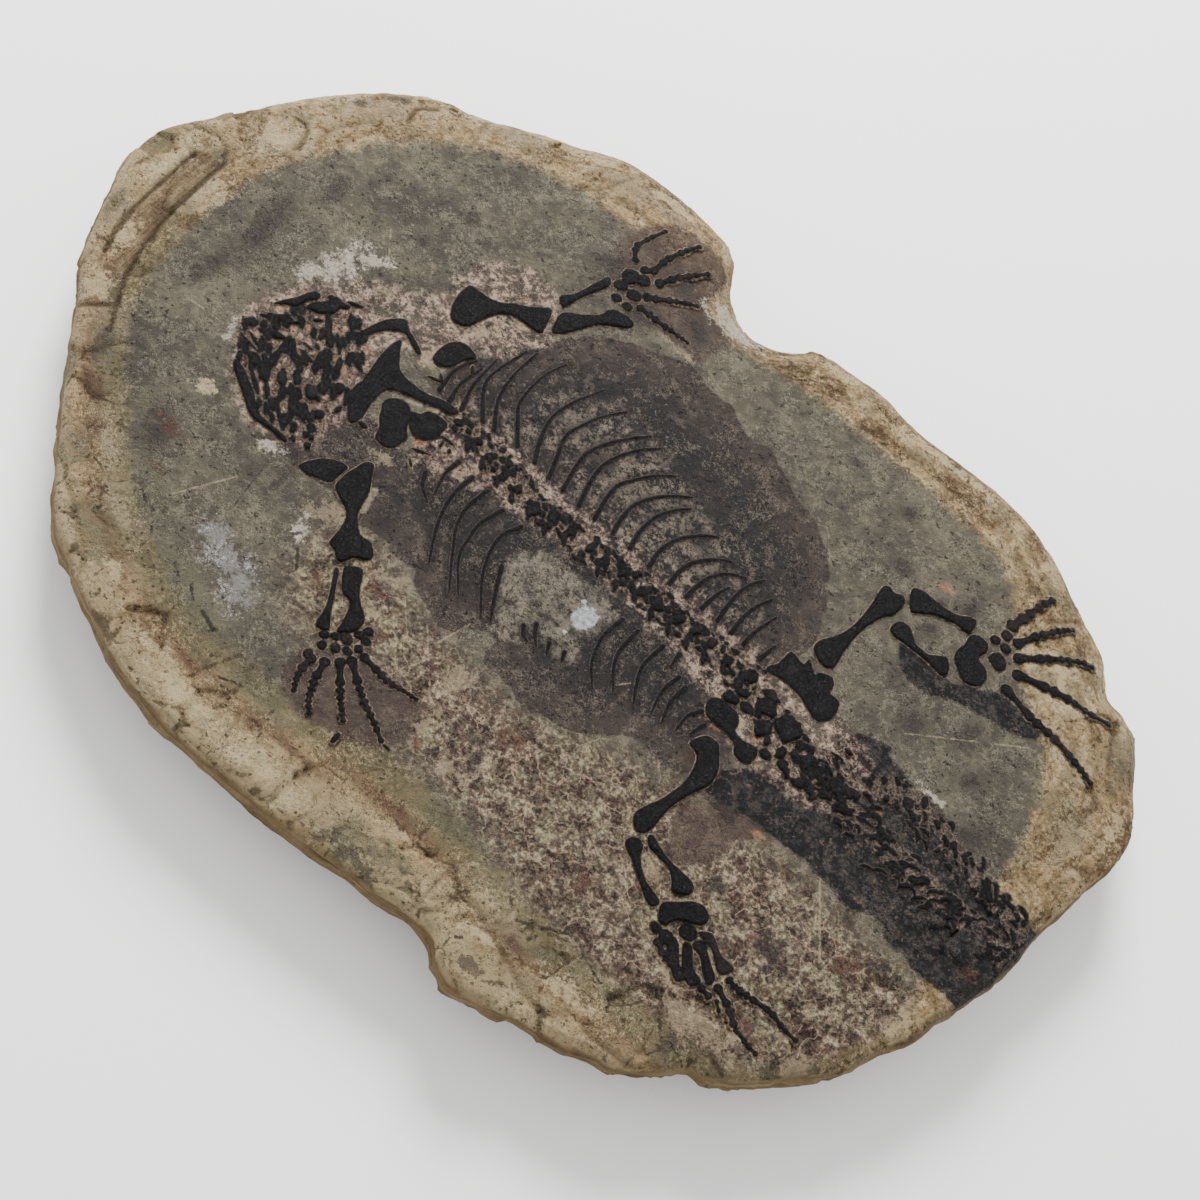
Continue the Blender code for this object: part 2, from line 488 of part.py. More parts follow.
def segmented_outline(line, half_widths):
    """A jointed strip: each vertebra is wide at its ends' processes and narrow between."""
    curve = smooth_open(line, SPLINE_STEPS)
    widths = [half_widths[0]]
    for a, b in zip(half_widths, half_widths[1:]):
        widths += [a + (b - a) * (step + 1) / SPLINE_STEPS for step in range(SPLINE_STEPS)]
    length = curve[-1].x - curve[0].x
    count = 2 * round(length / VERTEBRA_LENGTH)
    far = []
    near = []
    for k in range(count + 1):
        x = curve[0].x + length * k / count
        i = min(sum(point.x <= x for point in curve[1:-1]), len(curve) - 2)
        t = (x - curve[i].x) / (curve[i + 1].x - curve[i].x)
        y = curve[i].y + (curve[i + 1].y - curve[i].y) * t
        half = (widths[i] + (widths[i + 1] - widths[i]) * t) * (WAIST if k % 2 else 1.0)
        far.append((x, y + half))
        near.append((x, y - half))
    return near + far[::-1]


def make_bones(collection, material):
    for name, thickness, outline in PLATES:
        make_plate(name, thickness, outline, collection, material)
    for name, wide, narrow, digits, behind in DIGIT_FANS:
        outline = fan_outline(wide, narrow, digits, behind)
        make_plate(name, DIGIT_THICKNESS, outline, collection, material)
    spine = segmented_outline(SPINE_LINE, SPINE_HALF_WIDTHS)
    make_plate("vertebral_column", SPINE_THICKNESS, spine, collection, material)
    tail = segmented_outline(TAIL_LINE, TAIL_HALF_WIDTHS)
    make_plate("tail", PLATE_THICKNESS, tail, collection, material)
    for i, line in enumerate(RIBS_FAR, 1):
        make_rib(f"rib_far_{i:02d}", line, True, collection, material)
    for i, line in enumerate(RIBS_NEAR, 1):
        make_rib(f"rib_near_{i:02d}", line, False, collection, material)


def main():
    clear_scene()
    collection = make_collection()
    rock = make_material(*ROCK)
    bone = make_material(*BONE)
    make_slab(collection, rock)
    make_bones(collection, bone)


main()
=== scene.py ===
"""Looks of a fossil reptile lying on the split face of a mudstone nodule half.

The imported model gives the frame. The slab becomes a fine rock surface whose stains, rim and
flecks are procedural, and every bone becomes a domed piece grown into that surface.
"""

import math
import random

import bmesh
import bpy
import numpy as np
from bpy.props import FloatProperty, FloatVectorProperty, IntProperty, PointerProperty
from mathutils import Matrix, Vector, noise
from mathutils.bvhtree import BVHTree


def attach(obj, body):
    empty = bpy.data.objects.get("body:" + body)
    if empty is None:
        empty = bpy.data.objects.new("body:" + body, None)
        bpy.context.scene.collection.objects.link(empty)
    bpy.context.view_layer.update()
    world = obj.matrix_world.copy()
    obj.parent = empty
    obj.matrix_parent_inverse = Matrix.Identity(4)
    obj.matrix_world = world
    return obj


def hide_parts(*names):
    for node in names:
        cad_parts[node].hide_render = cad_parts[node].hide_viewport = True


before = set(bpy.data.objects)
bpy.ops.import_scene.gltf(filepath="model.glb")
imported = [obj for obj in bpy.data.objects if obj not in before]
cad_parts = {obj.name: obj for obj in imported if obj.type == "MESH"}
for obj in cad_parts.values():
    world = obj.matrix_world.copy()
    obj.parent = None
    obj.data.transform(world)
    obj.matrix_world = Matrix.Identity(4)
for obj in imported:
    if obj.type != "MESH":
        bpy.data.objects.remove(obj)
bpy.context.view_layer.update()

bl_info = {
    "name": "Fossil Reptile Slab",
    "version": (1, 0, 0),
    "blender": (4, 5, 0),
    "location": "View3D > Sidebar > Fossil",
    "description": "Builds the rock surface, bones and studio of a fossil reptile slab",
    "category": "Object",
}

MM = 0.001
WELD = 1e-6
BODY = "root"
ROCK_SLOT = "mudstone"
BONE_SLOT = "fossil_bone"

# Share of each paint's brightness, because the studio is brightly lit
PAINT = 0.72


def srgb(red, green, blue):
    """A linear colour from the 0 to 255 values that a paint chart gives."""
    channels = []
    for value in (red, green, blue):
        part = value / 255.0
        linear = part / 12.92 if part <= 0.04045 else ((part + 0.055) / 1.055) ** 2.4
        channels.append(linear * PAINT)
    return tuple(channels)


# Camera, in the frame's millimetres and degrees
CAMERA_TARGET = (12.5, -3.3, 28.0)
CAMERA_AZIMUTH = 11.0
CAMERA_ELEVATION = 62.0
CAMERA_ROLL = 29.0
CAMERA_DISTANCE = 640.0
CAMERA_LENS = 72.0
SENSOR_WIDTH = 36.0

# Rock relief in millimetres
SWELL = 0.22
SWELL_SCALE = 0.035
RIPPLE = 0.16
RIPPLE_SCALE = 0.17
CRUMB = 0.12
CRUMB_SCALE = 0.5
CRUST_LUMP = 0.55
CRUST_SCALE = 0.11
FACE_LEVEL = 27.2
FACE_EDGE_LEVEL = 22.0
RIM_WIDTH = 26.0
LEDGE = 0.45
BLOCK = 0.8
BLOCK_SCALE = 0.075
LEDGE_WIDTH = 7.0
CHIP = 0.7
CHIP_SCALE = 0.16
RIM_SECTORS = 120
CRUST_TOP = 14.0
CRUST_FADE = 8.0
STRATA_SPREAD = 0.06
STRATA_SCALE = 0.42
SIDE_SHIFT = 0.2
SOLE_HEIGHT = 0.4
FAR_RIM = 50.0
FAR_RIM_CALM = 0.45
JOINT_WIDTH = 0.12
JOINT_DEPTH = 0.4

# Bone patches in millimetres
SKIRT = 0.75
LIP = 0.26
SKIRT_SLOPE = 0.85
SOLE_DEPTH = 0.9
SHOULDER = 0.1
DIGIT_WIDTH = 1.2
EDGE_MARGIN = 3.2
BONE_ROUGHNESS = 0.26
SKULL_ROUGHNESS = 0.14
SPINE_ROUGHNESS = 0.25
CRACK_SCALE = 0.5
CRACK_WIDTH = 0.16
WEAR_SCALE = 0.35
FINE_WEAR_SCALE = 1.3

# Vertebrae and tail scales along the spine, in millimetres
VERTEBRAE = 18
FIRST_VERTEBRA = -48.0
VERTEBRA_STEP = 6.1
TAIL_SCALES = 120
TAIL_START = 84.0
TAIL_LENGTH = 68.0

# Studio light, in metres
KEY_PLACE = (-0.5, 0.75, 0.8)
KEY_SIZE = 0.55

# Outlines of the stains and kinds of rock, as x and y in millimetres on the split face
BODY_STAIN = [
    (-80, -18), (-74, -8), (-66, -4), (-58, -6), (-52, -3), (-50, 10), (-58, 16), (-61, 28),
    (-56, 33), (-50, 42), (-45.7, 50), (-42.7, 55.2), (-37, 61.8), (-29.4, 66.4), (-20.2, 70),
    (-15, 72.6), (-10, 72.8), (-4, 71), (4.3, 70.8), (8, 68.5), (15.5, 66), (20, 67.6), (30, 62.7),
    (35, 60), (41, 59), (45.8, 56), (50.4, 53), (54.5, 48.4), (57.6, 43.3), (60.6, 38.2),
    (62.7, 31.5), (63.6, 24), (60, 8), (61, -10), (66, -16), (66, -25), (60, -25.7), (57.6, -28.3),
    (49.4, -28.8), (45.8, -28.3), (39.9, -30.4), (35.3, -34.5), (30, -38), (26, -40), (21, -40),
    (15, -41.6), (7.8, -39), (0, -38.6), (-1.4, -31), (-8.6, -34), (-10.6, -37.6), (-14.6, -39),
    (-20.2, -36.8), (-27, -34), (-29.8, -30.4), (-37, -31), (-40, -29.4), (-47.7, -30),
    (-52, -30.4), (-59.4, -28.4), (-66, -28), (-71.6, -28.9), (-78.3, -26.8),
]
FOOT_STAIN = [
    (82.6, 46), (83.4, 41), (85.6, 38.8), (90.2, 37), (96.8, 37.5), (102, 39.5), (107.6, 41.8),
    (115.7, 42.9), (120.8, 43.9), (126, 46.6), (127, 50), (120, 51.4), (111.6, 51.4), (105, 47.6),
    (97, 44), (89, 46),
]
TAIL_STAIN = [
    (78, -8), (84, 4), (88, 14), (92, 15.6), (96.8, 16.4), (99, 14.4), (103, 13.4), (110.6, 11.8),
    (117.8, 11.6), (120.8, 9.8), (129.5, 6.2), (139.7, 5.2), (145.3, 1.6), (152.4, 1), (162, -1),
    (158, -31), (150.4, -30), (141, -30), (133.6, -29), (126, -28.5), (124, -25.4), (117.8, -25.4),
    (115.7, -27.4), (106.5, -27), (102.4, -26), (94.8, -25.2), (83.6, -25.7), (77, -26.2),
    (75.9, -30.3), (65.7, -27), (66, -20), (72, -14),
]
WEB_STAINS = [
    [(-36, 73), (-47, 84), (-52, 92), (-46, 106), (-38, 110), (-33, 110), (-22, 107),
     (-20, 92), (-10, 90.5), (-9.5, 82), (-12, 76), (-30, 75.5)],
    [(-24, -61), (-12, -59.4), (-1, -60), (-0.5, -66), (-2, -72), (-6, -77), (-14, -80),
     (-24, -82.5), (-33, -81), (-37, -73), (-34, -66)],
    [(76, -27), (84, -26), (80, -34), (78, -44), (70, -48), (64, -40), (66, -30)],
]
BELLY = [
    (-13, -14), (-11, -6), (-4, -2), (8, -2), (18, -3), (19, -10), (14, -16), (18, -20),
    (17, -23.5), (12, -24.5), (4, -25), (3, -28), (-1.5, -30.5), (-5, -29), (-9.5, -21),
]
RIB_CAGE = [
    (-40, 18), (-38, 30), (-32, 40), (-20, 45), (-6, 45), (8, 40), (22, 37), (34, 32), (44, 26),
    (50, 17), (20, 17), (-20, 17),
]
SPINE_MATRIX = [
    (-52, 17), (-40, 18.5), (-20, 16), (0, 15), (30, 15.4), (60, 14), (84, 14), (96, 9), (98, 0),
    (92, -11), (78, -14), (64, -12), (50, -5), (35, -1), (24, 0), (6, 2), (-10, 2.6), (-22, 1),
    (-34, -1), (-44, -8), (-52, -2),
]
SKULL_MATRIX = [
    (-113, -2), (-110.5, 8), (-105, 18), (-98, 26), (-88, 33), (-80, 38), (-77, 50), (-74, 60),
    (-60, 66), (-50, 60), (-46, 48), (-52, 36), (-62, 33), (-66, 18), (-72, 20), (-78, 15),
    (-77, 0), (-72, -9), (-74, -22), (-80, -27), (-92, -27), (-104, -18),
]
BROWN_FIELD = [
    (-52, -34), (-40, -33), (-27, -38), (-8, -42), (12, -44), (36, -37), (60, -31), (78, -31),
    (100, -29), (128, -32), (152, -32), (149, -50), (140, -66), (124, -80), (104, -88), (60, -86),
    (30, -78), (2, -72), (-20, -58), (-40, -64), (-54, -52),
]
FACE_ZONE = [
    (-137, -16), (-140, 8), (-139, 30), (-134, 46), (-126, 60), (-117, 72), (-106, 83), (-90, 92),
    (-72, 97), (-54, 98), (-40, 100), (-26, 96), (-14, 90), (4, 90), (30, 91), (62, 90), (88, 87),
    (96, 82), (106, 70), (115, 59), (126, 51), (133, 43), (137, 33), (140, 20), (141, 6),
    (141, -20), (140, -44), (132, -64), (118, -79), (98, -84), (60, -84), (28, -79), (0, -75),
    (-30, -80), (-58, -80), (-80, -73), (-96, -64), (-108, -54), (-120, -42), (-130, -30),
]

# Outlines of the crushed parts: jaws, trunk, hips and the tail's two strands
JAWS = [
    (-111, -4), (-108.5, 4), (-104, 13), (-99, 18), (-92, 20), (-84.5, 15), (-77, 8), (-75.5, 0),
    (-73, -8), (-74, -20), (-79, -24), (-88, -25), (-98, -20), (-106, -13),
]
SPINE_LINE = [
    (-52, 12.4), (-44, 12), (-34, 10.6), (-24, 8), (-8, 7), (10, 6.8), (30, 6.6), (46, 6.4),
    (58, 4), (70, 0), (82, -4), (96, -4),
]
TRUNK_BAND = [
    (-50, 14.6), (-42, 15), (-34, 14), (-26, 11.8), (-16, 10.8), (0, 10.8), (20, 10.6), (40, 10.4),
    (56, 8), (59, 4), (56, 0), (44, 2.6), (28, 3), (10, 3.2), (-8, 3.2), (-18, 3.6), (-26, 5),
    (-36, 7.6), (-46, 9.2),
]
HIP_BAND = [
    (56, 4), (62, 7.6), (69, 6), (78, 4), (88, 3), (98, 5), (100, -2), (98, -9), (88, -10.6),
    (78, -10), (70, -8), (64, -3.4), (56, -3),
]
UPPER_STRAND = [
    (96, 5), (104, 10.6), (112, 12), (122, 9.8), (134, 5.4), (146, 2.4), (156, -1), (157, -6),
    (146, -2.4), (134, 0), (122, 4), (112, 5.4), (104, 3), (97, -1),
]
LOWER_STRAND = [
    (94, -2), (104, -2.4), (114, -4), (126, -5), (140, -6.4), (155, -8), (155, -14), (140, -12.6),
    (126, -12), (114, -11), (104, -9), (95, -9.6),
]
# A worn strip of the rim at the head's end
RIM_STRIP = [
    (-157.4, 28), (-150, 30), (-147, 30), (-146.4, 8), (-144.4, -8), (-139.6, -20), (-146, -16),
    (-152, -12), (-155.4, -2), (-156.6, 14),
]

# Patches of other colours: centre x, centre y, half width, half height, turn in degrees
WHITE_SPOTS = [
    (-103, 29, 5, 9, -15), (-98, 35, 6, 3, 30), (-108, 20, 3, 4, 0), (-81, -29, 5.6, 2, 10),
    (-59, -42, 3, 4, 20), (113.5, 13.4, 4.5, 1.4, -5), (29, 6, 1.4, 1.4, 0),
    (35.6, 6.4, 1.8, 1.3, 10), (43.3, 7.4, 2.2, 1.9, 0), (17.6, 7, 0.7, 2.6, -15),
    (22.4, 6, 1.2, 1, 0), (5, 4.8, 1.1, 1.1, 0), (-10, 95.6, 12, 5, 8), (-111, -10, 1.4, 5, 20),
    (-106, -13, 1.6, 3, 30),
]
PALE_SPOTS = [
    (-144, 44, 9, 13, -18), (-129, 77, 7, 20, -38), (68.6, -54.4, 5.4, 2.2, -24),
    (50, -92, 15, 6, 0), (-112, -58, 10, 3, -46), (-132, -35, 4, 12, 38), (-94, -72, 12, 2.4, -32),
    (-58, -34, 7, 4, 20), (-2, -48, 4, 6, -20), (-42, -37, 5, 3, 0), (60, -98, 10, 4, 0),
    (100, -79, 12, 5, 10), (87, -70, 6, 5, -30), (0, -62, 2, 7, 0), (150, 30, 7, 14, 10),
    (128, -72, 8, 4, -40), (-30, -47.5, 6, 2.6, 40), (12, -68, 5, 3, 0), (-96, 100, 12, 5, 30),
    (-60, 110, 16, 7, 4), (-156, -2, 3, 6, 0), (-150, -26, 5, 5, 0), (-34, -38, 7, 2.6, 25),
    (-57, -11, 5, 2, 0), (-35.5, 5, 2.5, 3, 0), (-38, 0, 2, 3, 0), (62, -6, 2, 2, 0),
    (-64, 38, 9, 3, 40), (-56, 50, 8, 4, 60), (-66, 22, 4, 4, 0), (-20, 74.8, 9, 1.2, -6),
    (-90, 29, 5, 2, 20), (28, 17.6, 9, 1.4, 0), (4, 16.8, 12, 1.4, 0),
]
CREAM_SPOTS = [
    (-26, -99.6, 9, 4.6, -2), (-15, -100, 8, 5, 0), (-58, -94, 20, 2.6, -11),
    (-50, -98, 13, 3.4, -6), (44, -96.6, 9, 2.2, 6), (40, -91, 7, 3, 0), (70, -94, 9, 3, 0),
    (14, -90.4, 12, 1.8, 0), (60, -105, 5, 2.4, 10), (-158, 20, 4, 11, 4), (-151, -7, 3, 8, 10),
    (-146, -23, 4.6, 6.4, 30), (-144, 70, 6, 9, -38), (-143, 48, 5, 10, -16), (-124, 93, 7, 5, 40),
    (-108, 99, 9, 3.4, 36), (-80, 110, 14, 4, 16), (-48, 115, 12, 3, 0), (158, 40, 3, 9, 0),
    (60, 103, 22, 2.4, 0), (-104.6, -26.5, 3.8, 3, 0), (-86, -84, 5, 2, -30), (20, 104, 9, 2, 0),
]
OLIVE_SPOTS = [
    (4, -98, 9, 7, 0), (16, -97, 9, 5, 0), (8, -103, 13, 3, 0), (-95, -80, 14, 6, -30),
    (-118, -63, 8, 5, -45), (-137, -45, 7, 4, -55), (24, -80, 20, 3, 0), (-160, -2, 3, 8, 10),
    (150, 60, 9, 8, -30), (-104, -76, 6, 5, 0), (-94, -60, 10, 4, -34), (-76, -71, 12, 5, -24),
    (-60, -80, 12, 4, -10), (-38, -84, 14, 4, -4), (-128, -38, 3, 8, 40), (-150, 32, 3, 5, 0),
    (60, -90, 5, 2, 20), (140, 74, 5, 4, 0), (-165, 26, 3, 8, 0), (-158, -22, 3, 6, 20),
]
CHALK_SPOTS = [
    (-74, -58.6, 6, 5, -30), (-66, -63, 9, 5.6, -35), (-58.6, -68, 6, 4.6, -30),
    (-59.6, -64, 4, 3.4, 0),
]
CALCITE = [
    (12.6, -10.4, 4, 4.8, -20), (9.6, -6.6, 1, 0.8, 0), (11, -17.4, 1, 0.8, 0),
]
ORANGE_SPOTS = [
    (102.4, 3.1, 2.1, 1.4, 0), (107.3, 3.8, 1.7, 1, 0), (82, 67, 2.6, 1.6, 20),
    (84.5, -27.8, 4, 1.6, 0), (-93, -13, 1, 0.7, 0), (-104, -6, 3, 1.2, 10), (-81, 2, 3, 2.4, 0),
    (-80, 12, 3, 1, 0), (100, -3, 1.6, 1, 20), (105, -1, 1.4, 0.8, 0), (-52, 0, 2, 2, 0),
    (55.5, -5.5, 1.2, 1, 0), (96, 0.6, 1.2, 1, 0), (-76, 5, 2, 1.4, 30), (88.6, -7.4, 1.5, 2.2, 0),
    (58, -11.5, 3, 1.2, 0), (-101, 0.6, 5, 1.4, 12), (68, -6, 3.4, 2, -20), (-98, 5.5, 4, 2, 40),
]
DARK_SPOTS = [
    (-126, 22, 5, 17, 8), (-120, 45, 4, 6, 0), (-128, 4, 5, 7, 0), (-72, -34.5, 2, 5.4, 0),
    (-104, -46, 6, 8, 20), (133.2, -54.2, 2.4, 1.7, 15), (104, -51, 7, 4.6, -30),
    (15.5, -62, 2, 5, 15), (11, -57, 6, 2, -10), (54, -69, 3.6, 3.2, 0), (98, -88, 3, 4.4, 10),
    (-133, -36, 5, 8, 30), (62, 79, 4, 3, 0), (41, 82, 3, 2, 0), (-29, 95, 3, 6, 0),
    (126, -37, 5, 2, 40), (36, 88, 3, 1.6, 0), (84, -46, 4, 3, 0), (-92, 50, 3, 2, 0),
    (14, 47, 9, 3, 0), (47, -104, 7, 3, 20), (56, -103, 1.4, 4, -50), (6, -102, 13, 3.4, 0),
    (-12, 30, 5, 4, 20), (22, 30, 5, 3, 0), (-40, 32, 4, 8, 30), (50, 40, 5, 8, 20),
    (-135, 75, 3, 2.2, 40), (-127, 86, 2.4, 2, 0), (-142.4, 53, 1.6, 2.2, 0), (86, 53, 4, 3, 30),
    (104, 46, 3, 3, 0), (84, 62, 3, 2, 0), (70, 64, 5, 3, 0), (-50, 84, 8, 4, 20),
    (-86.7, 66, 3, 4, 0), (-129, -2, 3, 6, 10), (-107, -42.5, 6, 5, 0), (98, 26, 5, 6, 30),
    (120, 24, 6, 4, 20), (92, 66, 3, 6, 10), (128, 10, 6, 5, 30), (112, 34, 4, 7, 0),
    (-44.5, -24.5, 5, 5, 0), (-76, -26, 6, 2.4, -27), (-30, -59.4, 6, 5, 40), (-31, 76, 7, 5, 20),
    (-42, 82, 7, 5, 30), (-18, 84, 6, 4, -40), (106, 60, 4, 3, 0), (-24, 20, 8, 3, -10),
]
RUST_SPOTS = [
    (-46.4, -50.6, 3, 3.4, 20), (-33.2, -42, 4, 2.8, 20), (8, -86.6, 15, 2.8, 0),
    (54, -93, 6, 1.8, 0), (-33, -92, 3, 2.4, 0), (-56, -90, 6, 1.8, -10), (-124, -48, 5, 2.6, -30),
    (-118, -56.6, 4, 2, -50), (-128, -46, 4, 4, 0), (-98, -54.6, 4, 1.6, 0),
    (-103, -43, 6, 3, -20), (-20, -91, 12, 1.6, 0), (57, -69.5, 4, 4, 0), (-26, -52, 4, 3, 0),
    (18, -51, 5, 3, 20), (110, -72, 9, 3, -10), (66, -21.5, 2.4, 2.6, 0), (57.5, -22, 2.4, 3, 0),
    (1.6, -67.6, 2, 2.2, 0), (122, -42, 3, 5, -40), (148, -21, 4, 3, 0), (148, -8, 4, 3, 0),
]
# Each kind of patch: its places, its paint with pale and dark grains, the grains' share, the
# paint's share
SPOT_PAINTS = {
    "pale_spots": (PALE_SPOTS, ((176, 158, 126), (202, 186, 156), (128, 112, 88)), 0.6, 0.6),
    "dark_spots": (DARK_SPOTS, ((56, 49, 48), (92, 82, 76), (30, 27, 27)), 1.0, 0.75),
    "rust_spots": (RUST_SPOTS, ((92, 62, 50), (142, 108, 84), (48, 34, 30)), 1.0, 0.7),
    "olive_spots": (OLIVE_SPOTS, ((102, 99, 78), (140, 136, 112), (52, 49, 40)), 1.0, 0.65),
    "cream_spots": (CREAM_SPOTS, ((214, 194, 150), (236, 220, 180), (150, 130, 94)), 0.5, 0.8),
    "chalk_spots": (CHALK_SPOTS, ((150, 147, 143), (218, 214, 208), (98, 93, 86)), 1.0, 0.85),
    "white_spots": (WHITE_SPOTS, ((200, 190, 172), (238, 230, 216), (128, 116, 100)), 1.0, 0.9),
    "orange_spots": (ORANGE_SPOTS, ((176, 122, 92), (210, 160, 128), (96, 66, 52)), 1.0, 0.7),
}

# Veins and scratches: x and y of both ends, then the width
PALE_VEINS = [
    (-126, -10, -114, -9.3, 0.45), (98, 23, 129, 45, 0.4), (103, -26, 116, -45, 0.55),
    (-90, -58, -81, -42, 0.4), (-17, -41, -3, -57, 0.3), (80.5, -33, 82, -44, 0.5),
    (-12, -43, -9, -33, 0.5), (-27, -38, -18, -48, 0.3), (-52, -20, -50.6, -26.8, 1.8),
    (-66.5, 6, -55, 10.5, 0.9), (-73, 1, -68, -5.5, 0.9), (-55, 10.5, -51, 12, 0.8),
    (60.6, -19.8, 60.9, -26.5, 0.45), (-101, 47, -93, 36, 0.4), (33, -17, 30.5, -20, 0.35),
    (112, 52, 150, 47, 0.3),
]
DARK_MARKS = [
    (-78, -33, -76, -49, 0.4), (-62, -77.5, -56.5, -79.5, 1.1), (-56, -79, -58, -81.5, 1.1),
    (-76, -72, -72, -75, 0.8), (-69, -74, -66, -76.5, 0.8), (50, -88, 62, -82.4, 0.8),
    (66, -83, 76, -87, 0.6), (91, -83, 97, -88, 0.9), (98, -87, 106, -89.6, 0.5),
    (87, -32, 90, -35, 0.8), (91, -36, 99, -43, 0.7), (100, -50, 107, -57, 0.5),
    (-96, -62, -93, -64, 0.7), (-88, -67, -86, -70, 0.7), (-47, -88, -41, -86, 0.6),
    (41, -101, 42, -100, 0.9), (45.5, -85, 46.5, -86, 0.9), (69, -94, 70, -95, 0.8),
    (-56, -47, -52.5, -51.5, 0.9), (-58, -43, -60, -45, 0.8),
]

# Grooves worn into the rim, which the rock's material also darkens with painted shade: x, y of the
# points, half width and depth
GROOVES = [
    ([(-155.8, 27), (-155.8, 8), (-154.8, -4), (-152, -14)], 0.9, 1.1),
    ([(-148, 31), (-147.4, 10), (-146.6, -1), (-143.6, -13), (-139.5, -22), (-134, -32)], 0.9, 1.0),
    ([(-152, 27), (-152, 8), (-150.8, -6)], 0.8, 0.4),
    ([(-144, 57), (-139, 56), (-136.4, 49)], 0.9, 0.9),
    ([(-163, 34), (-153, 36), (-148, 31)], 0.9, 0.7),
    ([(-134, -34), (-124, -47), (-113, -60)], 1.0, 0.45),
    ([(-157, -37), (-146, -31), (-139, -26)], 1.0, 0.9),
    ([(-128, 72), (-133, 63), (-134, 54)], 1.2, 0.5),
    ([(-118, 90), (-122, 86), (-121, 80)], 1.2, 0.9),
    ([(-72, 96), (-66, 104), (-60, 120)], 1.0, 0.6),
    ([(29, -88), (28, -103)], 1.0, 0.6), ([(-36.4, -93), (-35.8, -98), (-33, -104)], 0.7, 0.5),
    ([(-34, -94.6), (-22, -95), (-10, -95.4)], 0.5, 0.35),
    ([(-9, -96), (-7, -100), (-9, -105)], 0.8, 0.6),
    ([(0, -90), (12, -90.4), (14, -93)], 0.6, 0.4),
    ([(-12, -88), (-7, -92), (-3, -96)], 0.8, 0.5),
    ([(-26, -86.6), (-20, -84.6), (-11, -85)], 0.6, 0.4), ([(44, -95), (58, -95.4)], 0.5, 0.35),
    ([(-130, -46), (-124, -50), (-121, -46)], 0.8, 0.7),
    ([(-68, -100), (-46, -105), (-20, -107)], 0.9, 0.6),
    ([(30, -98), (38, -92), (52, -96), (66, -101), (74, -99)], 1.2, 0.6),
    ([(80, -98.6), (96, -98), (104, -92)], 1.1, 0.7),
    ([(143, 66), (149, 50), (150, 34)], 1.2, 0.6),
    ([(-110, -74), (-96, -84), (-92, -90)], 1.0, 0.7),
    ([(-20, -92), (-16, -104)], 1.0, 0.5),
    ([(140, -30), (150, -36)], 1.0, 0.6), ([(110, 80), (122, 92)], 1.1, 0.6),
    ([(60, 92), (66, 110)], 1.0, 0.5),
]

# Ribs: points from the spine outwards, each side's ribs counted from the head
RIBS = {
    "far": [
        [(-54.6, 15.4), (-55.6, 22.2), (-54.3, 30)], [(-50.4, 15.6), (-52.9, 24.3), (-53.1, 35)],
        [(-44, 17), (-49.5, 24.3), (-51.2, 30.4), (-48.7, 43.2)],
        [(-40, 17), (-45, 25.3), (-46.7, 34.5), (-46.2, 44.7)],
        [(-32.3, 17.6), (-37.4, 24.3), (-40.3, 29.4), (-40.5, 39.6), (-38.2, 47.8)],
        [(-25.7, 17), (-28.8, 23.3), (-30.8, 31.4), (-29.3, 39.6), (-25.2, 49)],
        [(-20, 16), (-21.6, 20.7), (-24.4, 29.4), (-23.4, 34.5), (-21, 41), (-16.5, 48)],
        [(-14.9, 15.6), (-16.5, 23.3), (-17, 29.4), (-14.7, 35.5), (-10.6, 42), (-7, 46.5)],
        [(-8.8, 15), (-10.9, 23.3), (-11.4, 29.4), (-9.6, 35.5), (-6.5, 41), (-2.4, 45.7)],
        [(-3.2, 15), (-4.5, 21.7), (-4.7, 27.3), (-2.4, 32), (1, 37), (5.7, 41.4)],
        [(3.2, 15), (2.3, 19.2), (2.2, 25.3), (4.6, 31), (8.4, 35.5), (13, 39.3)],
        [(9.3, 14.6), (8.3, 21.2), (9, 27.3), (11.5, 32.4), (14.8, 36.2)],
        [(16.4, 14), (15.9, 20.2), (17.4, 25.8), (21.5, 31.4), (25.6, 34.7)],
        [(23.6, 14), (23.6, 19.2), (25, 23.8), (28.7, 28.4), (32.8, 31.2)],
        [(29.4, 14), (29.7, 17.7), (30.7, 22.8), (33.8, 27.3), (38.4, 30)],
        [(40, 14), (39.4, 22), (40.3, 28.4), (42.9, 33.3)],
        [(44.9, 14), (44.8, 20.2), (45.6, 25), (47.8, 30)],
        [(49.4, 13.4), (49.8, 18.8), (51.7, 26.4)], [(55.2, 13), (56.3, 19)],
    ],
    "near": [
        [(-41, 2.6), (-41.4, -3), (-39.5, -10.4)],
        [(-35.4, 1.4), (-35.9, -6.3), (-34.2, -14), (-31.8, -19.7), (-27.8, -26.8)],
        [(-29.8, 1.2), (-30.8, -5.8), (-29.6, -12.5), (-25.7, -19.2), (-18.6, -29.9)],
        [(-23.2, -0.6), (-25.2, -7.9), (-24.6, -14), (-23.2, -19.7), (-16.4, -28.6)],
        [(-16.5, -0.8), (-18.6, -6.3), (-18.1, -12.5), (-14.7, -20.5), (-8.1, -29.4)],
        [(20.5, -3.6), (19.5, -10.4), (20.1, -14.5), (22, -19.7), (26, -24.8)],
        [(25.6, -3.4), (25.4, -12), (27.7, -17.5), (31.2, -22.2)],
        [(33.3, -2.2), (32.6, -10.5), (34.8, -16.6), (37.3, -21.2)],
        [(41.9, -6.4), (40.9, -13), (42.4, -20.2)],
    ],
}
